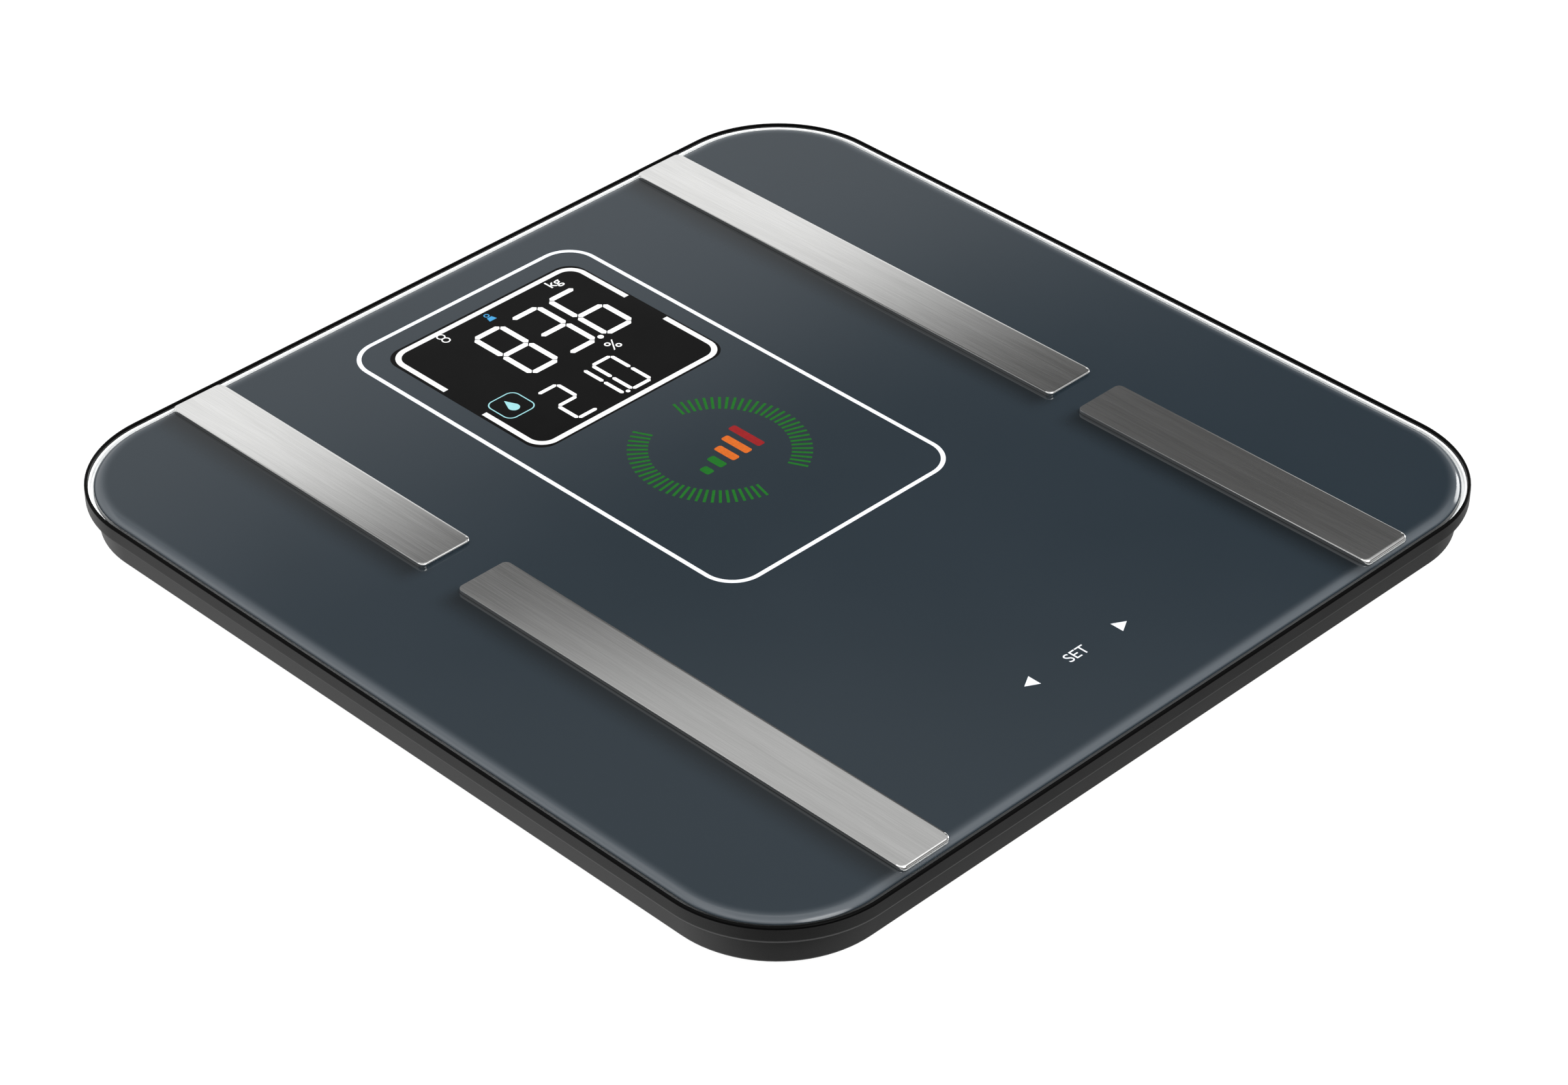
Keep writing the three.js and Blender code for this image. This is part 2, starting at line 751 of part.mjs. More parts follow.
// An upright tab beside a cell with a foot along the bay's roof. It faces away from +X.
function sideTab() {
  const inner = cellRadius + fitGap;
  const outer = cellRadius + bayMargin - fitGap;
  const high = bayTop - bayRoof - seatGap;
  const middle = (cellBottom + cellTop) / 2;
  const shape = new THREE.Shape();
  shape.moveTo(inner, cellBottom + fitGap);
  shape.lineTo(inner + leafThickness, cellBottom + fitGap);
  shape.lineTo(outer, high);
  shape.lineTo(inner - leafWidth / 2, high);
  shape.lineTo(inner - leafWidth / 2, high - leafThickness);
  shape.lineTo(outer - 2 * leafThickness, high - leafThickness);
  shape.lineTo(inner + fitGap / 2, middle);
  return alongY(shape, -tabWidth / 2, tabWidth / 2);
}

for (const [name, side] of [["left", -1], ["right", 1]]) {
  const x = side * cellPitch / 2;
  place(`coin_cell_${name}`, coinCell(), canSteel, x, 0);
  place(`negative_contact_${name}`, bowedLeaf(), springSteel, x, 0);
  const tab = place(`positive_contact_${name}`, sideTab(), springSteel, x, 0);
  tab.rotation.z = side < 0 ? Math.PI : 0;
}

// ---- display, backlight and main board ----------------------------------------------------------

function placeAtDisplay(name, geometry, material) {
  place(name, geometry, material, displayCentre.x, displayCentre.y);
}

function displayHolder() {
  const frame = (grow, low, high) => block(displayWidth + 2 * grow, displayLength + 2 * grow, low, high);
  const low = boardTop + seatGap;
  const opening = frame(fitGap, low - pastFace, displayTop + pastFace);
  return carve(frame(holderWall, low, displayTop), [], [opening]);
}

const panel = roundedBlock(displayWidth, displayLength, 0.5, displayBottom, displayTop);
placeAtDisplay("display_panel", panel, displayBlack);
placeAtDisplay("display_holder", displayHolder(), holderWhite);
const guide = roundedBlock(displayWidth, displayLength, 1, boardTop + seatGap, lightGuideTop);
placeAtDisplay("backlight_guide", guide, guideClear);
const board = roundedBlock(boardWidth, boardLength, 2, boardBottom, boardTop);
placeAtDisplay("main_board", board, boardGreen);

const chipTop = boardBottom - seatGap;
const chip = block(processorSize, processorSize, chipTop - processorThickness, chipTop);
placeAtDisplay("processor_chip", at(chip, -processorSize, 0), chipBlack);
const radio = roundedBlock(radioWidth, radioLength, 1, chipTop - radioThickness, chipTop);
placeAtDisplay("radio_module", at(radio, -radioWidth / 2, boardLength / 2 - radioLength), canSteel);

// ---- unit button and its switch -------------------------------------------------------------------

const buttonFlangeTop = coverInside + partingGap + buttonFlangeThickness;
const plungerBottom = buttonFlangeTop + buttonTravel + seatGap;

place("unit_button", turned([
  [0, coverBottom + buttonSink],
  [buttonRadius, coverBottom + buttonSink],
  [buttonRadius, coverInside + partingGap],
  [buttonRadius + buttonFlange, coverInside + partingGap],
  [buttonRadius + buttonFlange, buttonFlangeTop],
  [0, buttonFlangeTop],
]), buttonGrey, buttonCentre.x, buttonCentre.y);

place("unit_switch", carve(
  block(switchSize, switchSize, chipTop - switchHeight, chipTop),
  [disc(plungerRadius, plungerBottom, chipTop - switchHeight + rooted, smallSides)],
  [],
), chipBlack, buttonCentre.x, buttonCentre.y);

// ---- touch keys -----------------------------------------------------------------------------------

const keyPadTop = glassBottom - seatGap;
const touchBoardTop = keyPadTop - keyPadThickness - seatGap;
const touchBoardBottom = touchBoardTop - touchBoardThickness;

place(
  "touch_board",
  block(touchBoardWidth, touchBoardLength, touchBoardBottom, touchBoardTop),
  boardGreen,
  touchShift,
  touchRow,
);
for (const [name, index] of [["left", -1], ["middle", 0], ["right", 1]]) {
  const pad = disc(keyPadRadius, touchBoardTop + seatGap, keyPadTop);
  place(`key_pad_${name}`, pad, padCopper, touchShift + index * touchPitch, touchRow);
}

// The flat ribbon lies under the touch board, under the tray floor and on the main board's edge.
function touchRibbon() {
  const ribbonLow = touchShift - touchBoardWidth / 2 + ribbonInset;
  const underTray = trayUnder - seatGap;
  const underTouch = touchBoardBottom - seatGap;
  const onBoard = boardTop + seatGap + ribbonThickness;
  const windowEdge = touchRow + touchOpening.y / 2;
  const boardEdge = displayCentre.y - boardLength / 2;
  const boardLap = (boardLength - displayLength) / 2 - holderWall - fitGap;
  const tops = [
    [touchRow - ribbonLap, underTouch],
    [windowEdge - ribbonLap - fitGap, underTouch],
    [windowEdge - 2 * fitGap, underTray],
    [boardEdge - 2 * ribbonLap, underTray],
    [boardEdge - ribbonLap, onBoard],
    [boardEdge + boardLap, onBoard],
  ];
  const shape = new THREE.Shape(tops.map(([y, z]) => new THREE.Vector2(y, z)));
  for (const [y, z] of [...tops].reverse()) {
    shape.lineTo(y, z - ribbonThickness);
  }
  return alongX(shape, ribbonLow, ribbonLow + ribbonWidth);
}

place("touch_ribbon", touchRibbon(), ribbonAmber);

// ---- leads ------------------------------------------------------------------------------------------

const boardMiddle = (boardTop + boardBottom) / 2;
const loadLane = half - loadLaneInset;
const electrodeLane = half - electrodeLaneInset;
const lowLane = coverInside + laneLift;
const highLane = trayUnder - 2 * leadRadius;
const boardFront = displayCentre.y - boardLength / 2;
const leadEnd = leadRadius + seatGap;
const exitHeight = loadCellTop - leadRadius / 2;

const between = (from, to, share) => from + (to - from) * share;

function loadCellRoute(x, y, boardSide) {
  const cellEdge = x * (footPlace - loadCellSize / 2 - fitGap);
  const carrierEdge = x * (footPlace - carrierSize / 2);
  const exitY = y * (footPlace - leadExit);
  const start = [
    [cellEdge, exitY, exitHeight],
    [carrierEdge - x * leadStraight, exitY, exitHeight],
    [carrierEdge - x * (leadStraight + leadBend), exitY, (exitHeight + lowLane) / 2],
    [carrierEdge - x * (leadStraight + 2 * leadBend), exitY - y * leadStraight, lowLane],
    [carrierEdge - x * (leadStraight + 3 * leadBend), exitY - y * 2 * leadStraight, lowLane],
  ];
  const turn = boardSide + x * boardApproach;
  if (y > 0) {
    const terminal = boardFront + rearLoadTerminal;
    return [...start, [turn, terminal + leadBend, lowLane], [boardSide, terminal, boardMiddle]];
  }
  return [
    ...start,
    [x * loadLane, exitY + laneEntry, lowLane],
    [x * loadLane, boardFront - laneDeparture, lowLane],
    [turn, boardFront - leadBend, lowLane],
    [boardSide, boardFront + frontLoadTerminal, boardMiddle],
  ];
}

function electrodeRoute(x, y, boardSide) {
  const studEdge = x * (stripPlace - studRadius - leadEnd);
  const studY = y * studPlace;
  if (y > 0) {
    return [
      [studEdge, studY, highLane],
      [between(studEdge, boardSide, 0.4), studY + leadBend, highLane],
      [between(studEdge, boardSide, 0.7), studY + 2 * leadBend, highLane],
      [boardSide, boardFront + rearElectrodeTerminal, boardMiddle],
    ];
  }
  return [
    [studEdge, studY, highLane],
    [x * electrodeLane, studY + laneEntry / 2, highLane],
    [x * electrodeLane, boardFront - laneDeparture / 2, highLane],
    [boardSide + x * boardApproach, boardFront + leadBend, highLane],
    [boardSide, boardFront + frontElectrodeTerminal, boardMiddle],
  ];
}

for (const { name, x, y } of corners) {
  const boardSide = displayCentre.x + x * (boardWidth / 2 + leadEnd);
  place(`load_cell_lead_${name}`, lead(loadCellRoute(x, y, boardSide)), leadWhite);
  place(`electrode_lead_${name}`, lead(electrodeRoute(x, y, boardSide)), leadBlack);
}

// The battery leads start square to the bay's wall, drop to the cover and rise to the board's edge.
const bayRear = bayLength / 2 + bayWall;
for (const [name, side, material] of [["positive", 1, leadRed], ["negative", -1, leadBlack]]) {
  const x = side * batteryLeadSpacing / 2;
  const height = highLane - leadRadius;
  const route = [
    [x, bayRear + leadEnd, height],
    [x, bayRear + leadEnd + leadStraight, height],
    [x, bayRear + leadStraight + 2 * leadBend, lowLane],
    [x, boardFront - 2 * leadBend, lowLane],
    [x, boardFront - leadEnd, boardMiddle],
  ];
  place(`battery_lead_${name}`, lead(route), material);
}

export default scale;
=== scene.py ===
import math
from itertools import pairwise

import bmesh
import bpy
from mathutils import Matrix, Vector


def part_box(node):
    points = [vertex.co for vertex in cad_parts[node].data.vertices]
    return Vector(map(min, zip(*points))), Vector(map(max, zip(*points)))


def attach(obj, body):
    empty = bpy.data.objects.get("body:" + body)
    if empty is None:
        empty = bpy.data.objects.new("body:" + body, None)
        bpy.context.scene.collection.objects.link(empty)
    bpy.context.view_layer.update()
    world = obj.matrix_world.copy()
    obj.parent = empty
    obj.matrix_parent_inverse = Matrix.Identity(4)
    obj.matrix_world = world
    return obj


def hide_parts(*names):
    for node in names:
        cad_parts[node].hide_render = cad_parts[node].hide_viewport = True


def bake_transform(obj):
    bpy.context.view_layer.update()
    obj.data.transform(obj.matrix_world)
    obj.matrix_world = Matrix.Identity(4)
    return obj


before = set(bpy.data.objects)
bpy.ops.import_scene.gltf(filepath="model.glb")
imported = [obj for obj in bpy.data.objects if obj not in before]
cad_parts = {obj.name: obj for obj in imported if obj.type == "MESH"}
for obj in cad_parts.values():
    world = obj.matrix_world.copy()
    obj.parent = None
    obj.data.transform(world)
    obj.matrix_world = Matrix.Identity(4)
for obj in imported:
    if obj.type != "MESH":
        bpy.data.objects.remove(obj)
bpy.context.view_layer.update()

mm = 0.001

# ---- Camera -------------------------------------------------------------------------------------
# It looks down on the platform across its front left corner with a long lens, so that the display
# reads from lower left to upper right.
camera_azimuth = math.radians(44.98)
camera_elevation = math.radians(35.756)
camera_distance = 1304 * mm
platform_low, platform_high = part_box("glass_platform")
aim = Vector((-23.7 * mm, -26.5 * mm, platform_high.z))
towards_camera = Vector((
    -math.sin(camera_azimuth) * math.cos(camera_elevation),
    -math.cos(camera_azimuth) * math.cos(camera_elevation),
    math.sin(camera_elevation),
))
camera_data = bpy.data.cameras.new("camera")
camera_data.sensor_width = 36
camera_data.lens = 100.99
camera = bpy.data.objects.new("camera", camera_data)
camera.location = aim + towards_camera * camera_distance
camera.rotation_euler = (-towards_camera).to_track_quat("-Z", "Y").to_euler()
bpy.context.scene.collection.objects.link(camera)
bpy.context.scene.camera = camera
bpy.context.scene.view_settings.view_transform = "Standard"

# ---- Studio floor -------------------------------------------------------------------------------
# A plain white table that glows a little, as one lit from below does. It is clear from underneath,
# so that the feet and the battery door can be looked at.


class Wire:
    """A socket of a node tree. Arithmetic on wires adds Math nodes, with numbers on either side."""

    def __init__(self, tree, socket=None):
        self.tree = tree
        self.socket = socket

    def node(self, kind, settings, sockets, out=0):
        """Adds a node of that kind, makes its settings first and then fills its sockets."""
        made = self.tree.nodes.new("ShaderNode" + kind)
        for name, value in settings.items():
            setattr(made, name, value)
        for name, value in sockets.items():
            if isinstance(value, Wire):
                self.tree.links.new(value.socket, made.inputs[name])
            else:
                made.inputs[name].default_value = value
        return Wire(self.tree, made.outputs[out])

    def math(self, operation, *operands):
        return self.node("Math", {"operation": operation}, dict(enumerate(operands)))

    def __add__(self, other):
        return self.math("ADD", self, other)

    __radd__ = __add__

    def __sub__(self, other):
        return self.math("SUBTRACT", self, other)

    def __rsub__(self, other):
        return self.math("SUBTRACT", other, self)

    def __mul__(self, other):
        return self.math("MULTIPLY", self, other)

    __rmul__ = __mul__

    def __pow__(self, other):
        return self.math("POWER", self, other)

    def __abs__(self):
        return self.math("ABSOLUTE", self)

    def least(self, other):
        return self.math("MINIMUM", self, other)

    def most(self, other):
        return self.math("MAXIMUM", self, other)

    def parts(self):
        """The wires of a vector's X, Y and Z."""
        split = self.node("SeparateXYZ", {}, {0: self}).socket.node
        return [Wire(self.tree, output) for output in split.outputs]

    def smooth(self, low, high):
        """A soft step from 0 at low to 1 at high."""
        steps = {0: self, 1: low, 2: high, 3: 0.0, 4: 1.0}
        return self.node("MapRange", {"interpolation_type": "SMOOTHSTEP"}, steps)

    def tint(self, dark, light):
        """The first colour where this wire is 0 and the second where it is 1."""
        return self.node("Mix", {"data_type": "RGBA"}, {0: self, 6: dark, 7: light}, out=2)

    def noise(self, scale, detail):
        return self.node("TexNoise", {}, {"Vector": self, "Scale": scale, "Detail": detail})

    def stretched(self, scale):
        return self.node("Mapping", {}, {"Vector": self, "Scale": scale})

    def into(self, shader, name):
        self.tree.links.new(self.socket, shader.inputs[name])

    def raise_in(self, shader, strength, distance):
        """Shows this wire as relief of that height on the shader's surface."""
        relief = {"Strength": strength, "Distance": distance, "Height": self}
        self.node("Bump", {}, relief).into(shader, "Normal")


def grey(value):
    return (value, value, value, 1.0)


def link(made):
    bpy.context.scene.collection.objects.link(made)
    return made


floor_glow = 0.99
floor_material = bpy.data.materials.new("white_table")
floor_material.use_nodes = True
floor_wire = Wire(floor_material.node_tree)
floor_nodes = floor_material.node_tree.nodes
table_top = floor_nodes["Principled BSDF"]
table_top.inputs["Base Color"].default_value = grey(0.08)
table_top.inputs["Roughness"].default_value = 0.9
table_top.inputs["Specular IOR Level"].default_value = 0.0
table_top.inputs["Emission Color"].default_value = grey(1.0)
table_top.inputs["Emission Strength"].default_value = floor_glow
underneath = floor_wire.node("NewGeometry", {}, {}, out="Backfacing")
seen = floor_wire.node("MixShader", {}, {
    0: underneath,
    1: Wire(floor_material.node_tree, table_top.outputs[0]),
    2: floor_wire.node("BsdfTransparent", {}, {}),
})
seen.into(floor_nodes["Material Output"], "Surface")

floor_reach = 12.0
floor_sink = 0.2 * mm
floor_signs = ((-1, -1), (1, -1), (1, 1), (-1, 1))
floor_corners = [(x * floor_reach, y * floor_reach, -floor_sink) for x, y in floor_signs]
floor_mesh = bpy.data.meshes.new("floor")
floor_mesh.from_pydata(floor_corners, [], [(0, 1, 2, 3)])
floor_mesh.materials.append(floor_material)
floor = link(bpy.data.objects.new("floor", floor_mesh))
floor.visible_diffuse = False
floor.visible_glossy = False
floor.visible_transmission = False
floor.visible_shadow = False

# ---- Studio light -------------------------------------------------------------------------------
# A white backdrop that ends above the horizon, a soft overhead box with a dimmer ring under it, a
# small lamp in front that glints along the rim, and a low soft lamp on the right. The backdrop
# itself looks plain white.
world = bpy.data.worlds.new("studio")
bpy.context.scene.world = world
world.use_nodes = True
sky = Wire(world.node_tree)
east, north, up = sky.node("TexCoord", {}, {}, out="Generated").parts()
leftward = (north - east) * math.sqrt(0.5)
rearward = (north + east) * math.sqrt(0.5)
room_light = 0.1
backdrop_light = 0.86
ring_light = 0.44
overhead_light = 1.2
lamp_light = 7.0
underneath_light = 1.2
edge_softness = 0.024
backdrop_edge = 0.5455 + 0.29 * leftward
backdrop = 1.0 - (up - backdrop_edge).smooth(-edge_softness, edge_softness)
facing = 0.35 + 0.65 * rearward.smooth(-0.6, 0.2)
high_ring = ring_light * up.smooth(0.584, 0.622)
dimmer_middle = 1.0 - 0.65 * up.smooth(0.93, 0.985)
overhead = overhead_light * up.smooth(0.72, 0.88) * dimmer_middle
lamp_nearness = 0.801 * up - 0.404 * rearward - 0.442 * leftward
front_lamp = lamp_light * lamp_nearness.smooth(0.94, 0.985)
above = backdrop * facing * backdrop_light + room_light + high_ring + overhead + front_lamp
table_glare = 0.65 + 0.3 * leftward
shade_in_front = 0.62 * (0.0 - rearward).smooth(0.35, 0.8)
underlight = underneath_light * (0.0 - up).smooth(0.75, 0.95)
below = (table_glare - shade_in_front).most(0.03) + underlight
is_below = 1.0 - up.smooth(-0.03, 0.0)
radiance = above * (1.0 - is_below) + below * is_below
seen_directly = sky.node("LightPath", {}, {}, out="Is Camera Ray")
radiance = radiance * (1.0 - seen_directly) + seen_directly
studio_light = world.node_tree.nodes["Background"]
studio_light.inputs["Color"].default_value = grey(1.0)
radiance.into(studio_light, "Strength")

side_lamp = bpy.data.lights.new("side_lamp", "AREA")
side_lamp.shape = "DISK"
side_lamp.size = 0.55
side_lamp.energy = 6.5
side_lamp_place = Vector((1.5, -0.1, 0.42))
side_lamp_object = link(bpy.data.objects.new("side_lamp", side_lamp))
side_lamp_object.location = side_lamp_place
side_lamp_object.rotation_euler = side_lamp_place.to_track_quat("Z", "Y").to_euler()
side_lamp_object.visible_camera = False

# ---- Lower cover --------------------------------------------------------------------------------
# A shallow tub moulded in dark grey plastic with a fine spark-eroded grain. Its floor has the
# battery bay, the foot holes, the sunk screw holes and the hole of the unit button.
tray_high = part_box("upper_tray")[1]
cover_low, cover_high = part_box("lower_cover")
corner_radius = 39.5 * mm
corner_steps = 24
cover_inset = 3.5 * mm
cover_wall = 2 * mm
cover_floor = 1.8 * mm
cover_edge = 0.8 * mm
bay_wall = 3.4 * mm
bay_margin = 2.2 * mm
bay_roof = 1.1 * mm
slide_gap = 0.4 * mm
fit_gap = 0.3 * mm
seat_gap = 0.1 * mm
past_face = 1 * mm
corners = {"rear_left": (-1, 1), "rear_right": (1, 1), "front_left": (-1, -1), "front_right": (1, -1)}


def outline(grow):
    """A rounded square, that far outside the rim's outer edge."""
    size = 2 * (tray_high.x + grow)
    return rectangle(size, size, corner_radius + grow, steps=corner_steps)


def rounding(steps, first=0):
    """The sine and cosine at each step of a quarter turn."""
    turns = [step / steps * math.pi / 2 for step in range(first, steps + 1)]
    return [(math.sin(turn), math.cos(turn)) for turn in turns]


def stacked(rings, closed=False):
    """A solid skinned over rings of points. Its ends are flat, or closed rings meet end to end."""
    solid = bmesh.new()
    loops = [[solid.verts.new(point) for point in ring] for ring in rings]
    for low, high in pairwise(loops + loops[:1] if closed else loops):
        for here, there in zip(range(len(low)), [*range(1, len(low)), 0]):
            solid.faces.new((low[here], low[there], high[there], high[here]))
    if not closed:
        solid.faces.new(loops[0][::-1])
        solid.faces.new(loops[-1])
    return solid


def lofted(levels, closed=False):
    """Rounded squares along a profile of (distance outside the rim, height) pairs."""
    return stacked([[(x, y, height) for x, y in outline(grow)] for grow, height in levels], closed)


def prism(points, low, high):
    return stacked([[(x, y, low) for x, y in points], [(x, y, high) for x, y in points]])


def circle(radius, sides=48, centre=(0, 0)):
    angles = [2 * math.pi * side / sides for side in range(sides)]
    return [(centre[0] + radius * math.cos(a), centre[1] + radius * math.sin(a)) for a in angles]


def rectangle(width, length, radius=0.0, centre=(0, 0), steps=8):
    """The outline of a rectangle about a centre, with its corners rounded to that radius."""
    points = []
    for quarter, (right, rear) in enumerate(((1, 1), (-1, 1), (-1, -1), (1, -1))):
        cx = centre[0] + right * (width / 2 - radius)
        cy = centre[1] + rear * (length / 2 - radius)
        angles = [(quarter + step / steps) * math.pi / 2 for step in range(steps + 1)]
        for angle in angles if radius else angles[:1]:
            points.append((cx + radius * math.cos(angle), cy + radius * math.sin(angle)))
    return points


def together(solids):
    """Several solids as one mesh of separate bodies."""
    whole = bmesh.new()
    for solid in solids:
        part = bpy.data.meshes.new("part")
        solid.to_mesh(part)
        solid.free()
        whole.from_mesh(part)
        bpy.data.meshes.remove(part)
    return whole


def as_object(name, solid):
    mesh = bpy.data.meshes.new(name)
    bmesh.ops.recalc_face_normals(solid, faces=solid.faces)
    solid.to_mesh(mesh)
    solid.free()
    return link(bpy.data.objects.new(name, mesh))


def carve(solid, added, removed):
    """The solid with the added ones joined to it and then the removed ones cut away."""
    base = as_object("base", solid)
    tools = []
    for parts, operation in ((added, "UNION"), (removed, "DIFFERENCE")):
        if parts:
            tools.append(as_object("tool", together(parts)))
            cut = base.modifiers.new("cut", "BOOLEAN")
            cut.operation = operation
            cut.solver = "EXACT"
            cut.use_self = True
            cut.object = tools[-1]
    carved = bmesh.new()
    carved.from_object(base, bpy.context.evaluated_depsgraph_get())
    for spent in (base, *tools):
        bpy.data.meshes.remove(spent.data)
    return carved


def at(x, y, solid):
    solid.transform(Matrix.Translation((x, y, 0)))
    return solid


def make(name, solid, material, body, stands_for=(), sharp=30):
    """A finished piece that moves with a body, shaded smooth but for its real edges."""
    piece = as_object(name, solid)
    for face in piece.data.polygons:
        face.use_smooth = True
    piece.data.set_sharp_from_angle(angle=math.radians(sharp))
    piece.data.materials.append(material)
    piece.modifiers.new("flat_faces", "WEIGHTED_NORMAL").keep_sharp = True
    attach(piece, body)
    if stands_for:
        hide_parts(*stands_for)
    return piece


def principled(name, colour, roughness, metallic=0.0):
    """A new material, with its shader and the wire of a spot's place."""
    material = bpy.data.materials.new(name)
    material.use_nodes = True
    shader = material.node_tree.nodes["Principled BSDF"]
    shader.inputs["Base Color"].default_value = colour
    shader.inputs["Roughness"].default_value = roughness
    shader.inputs["Metallic"].default_value = metallic
    return material, shader, Wire(material.node_tree).node("TexCoord", {}, {}, out="Object")


def moulded(name, dark, light, roughness, grain=0.3, gloss_above=None):
    """Moulded plastic: fine grain, slight clouding, and a polished band above a height if given."""
    material, shader, spot = principled(name, light, roughness)
    cloud = spot.noise(45.0, 4.0)
    speck = spot.noise(2600.0, 2.0)
    colour = (0.6 * cloud + 0.4 * speck).smooth(0.35, 0.65).tint(dark, light)
    rough = roughness - 0.06 + 0.12 * cloud
    relief = speck
    if gloss_above is not None:
        height = spot.parts()[2]
        polished = height.smooth(gloss_above, gloss_above + 0.08 * mm)
        colour = polished.tint(colour, grey(0.003))
        rough = rough * (1.0 - polished) + 0.1 * polished
        relief = speck * (1.0 - polished)
        shader.inputs["Specular IOR Level"].default_value = 0.01
        shader.inputs["Coat Roughness"].default_value = roughness
        satin_low, satin_high = gloss_above - 4.9 * mm, gloss_above - 3.8 * mm
        (0.5 * height.smooth(satin_low, satin_high) - 0.46 * polished).into(shader, "Coat Weight")
    colour.into(shader, "Base Color")
    rough.into(shader, "Roughness")
    relief.raise_in(shader, grain, 0.03 * mm)
    return material


def centre_of(node):
    low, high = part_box(node)
    return (low + high) / 2


cover_plastic = moulded("cover_plastic", grey(0.010), grey(0.016), 0.42)
cover_inside = cover_low.z + cover_floor
cover_profile = [
    (-cover_inset - cover_edge * (1 - sine), cover_low.z + cover_edge * (1 - cosine))
    for sine, cosine in rounding(5)
]
cover_profile += [
    (-cover_inset, cover_high.z),
    (-cover_inset - cover_wall, cover_high.z),
    (-cover_inset - cover_wall, cover_inside),
]
door_low, door_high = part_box("battery_door")
door_thickness = 1.5 * mm
door_top = cover_low.z + door_thickness
pin_reach = 2 * mm
pin_radius = 0.5 * mm
hinge_y = door_low.y + (door_top - door_low.z) / 2
hinge_z = (door_top + door_low.z) / 2
door_half = door_high.x - pin_reach
bay_half_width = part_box("coin_cell_right")[1].x + bay_margin
bay_half_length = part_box("coin_cell_right")[1].y + bay_margin
tray_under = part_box("load_cell_carrier_rear_left")[1].z + seat_gap
bay_top = tray_under - fit_gap
below_cover = cover_low.z - past_face
screw_low, screw_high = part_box("cover_screw_rear_left")
screw_head_radius = 3 * mm
screw_head_height = 1.4 * mm
screw_shank_radius = 1.4 * mm
seat_wall = 1 * mm
post_bottom = cover_inside + 1.2 * mm
foot_radius = 20.5 * mm
button_radius = 3.2 * mm
foot_places = [centre_of(f"foot_cap_{name}") for name in corners]
screw_places = [centre_of(f"cover_screw_{name}") for name in corners]
button_place = centre_of("unit_button")
bay_outside = rectangle(2 * (bay_half_width + bay_wall), 2 * (bay_half_length + bay_wall), 1.5 * mm)
bay_block = prism(bay_outside, cover_inside - fit_gap, bay_top)
bay_inside = rectangle(2 * bay_half_width, 2 * bay_half_length, 1 * mm)
bay_hole = prism(bay_inside, below_cover, bay_top - bay_roof)
door_outline = rectangle(2 * (door_half + slide_gap), 2 * (door_high.y + slide_gap))
door_hole = prism(door_outline, below_cover, door_top + seat_gap)
pin_outline = rectangle(2 * (door_high.x + seat_gap), 2 * (pin_radius + seat_gap), centre=(0, hinge_y))
pin_hole = prism(pin_outline, below_cover, hinge_z + pin_radius + seat_gap)
seat_outline = circle(screw_head_radius + fit_gap + seat_wall)
head_top = screw_low.z + screw_head_height + seat_gap
seats = []
foot_outline = circle(foot_radius + slide_gap, 96)
holes = [at(x, y, prism(foot_outline, below_cover, bay_top)) for x, y, _ in foot_places]
for x, y, _ in screw_places:
    seats.append(at(x, y, prism(seat_outline, cover_inside - fit_gap, post_bottom - seat_gap)))
    holes.append(at(x, y, prism(circle(screw_head_radius + fit_gap), below_cover, head_top)))
    holes.append(at(x, y, prism(circle(screw_shank_radius + fit_gap, 24), below_cover, bay_top)))
button_hole = prism(circle(button_radius + slide_gap), below_cover, bay_top)
holes.append(at(button_place.x, button_place.y, button_hole))
cover_solid = carve(lofted(cover_profile), [bay_block, *seats], [bay_hole, door_hole, pin_hole, *holes])
make("lower_cover_moulding", cover_solid, cover_plastic, "chassis", ["lower_cover"])

# ---- Cover screws -------------------------------------------------------------------------------
# Four zinc plated self-tapping screws with a cross recess, sunk below the cover's face, which hold
# the lower cover to the posts of the tray.


def turned(profile, sides=64):
    """A solid turned from (radius, height) pairs that start and end on the axis."""
    solid = bmesh.new()
    rings = []
    for radius, height in profile:
        if radius:
            rings.append([solid.verts.new((x, y, height)) for x, y in circle(radius, sides)])
        else:
            rings.append([solid.verts.new((0, 0, height))] * sides)
    for low, high in pairwise(rings):
        for here, there in zip(range(sides), [*range(1, sides), 0]):
            around = dict.fromkeys((low[here], low[there], high[there], high[here]))
            solid.faces.new(list(around))
    return solid


def shaded(colour, share):
    """A colour dimmed to a share of its light."""
    return (*(part * share for part in colour[:3]), 1.0)


def metal(name, colour, roughness, grain_scale=(1.0, 1.0, 1.0), streak=0.1, relief=0.05):
    """Metal with a grain, which is stretched along an axis that has a small scale."""
    material, shader, spot = principled(name, colour, roughness, metallic=1.0)
    grain = spot.stretched(grain_scale).noise(900.0, 3.0)
    grain.smooth(0.3, 0.7).tint(shaded(colour, 1 - streak), colour).into(shader, "Base Color")
    (roughness - 0.05 + 0.1 * grain).into(shader, "Roughness")
    grain.raise_in(shader, relief, 0.02 * mm)
    return material


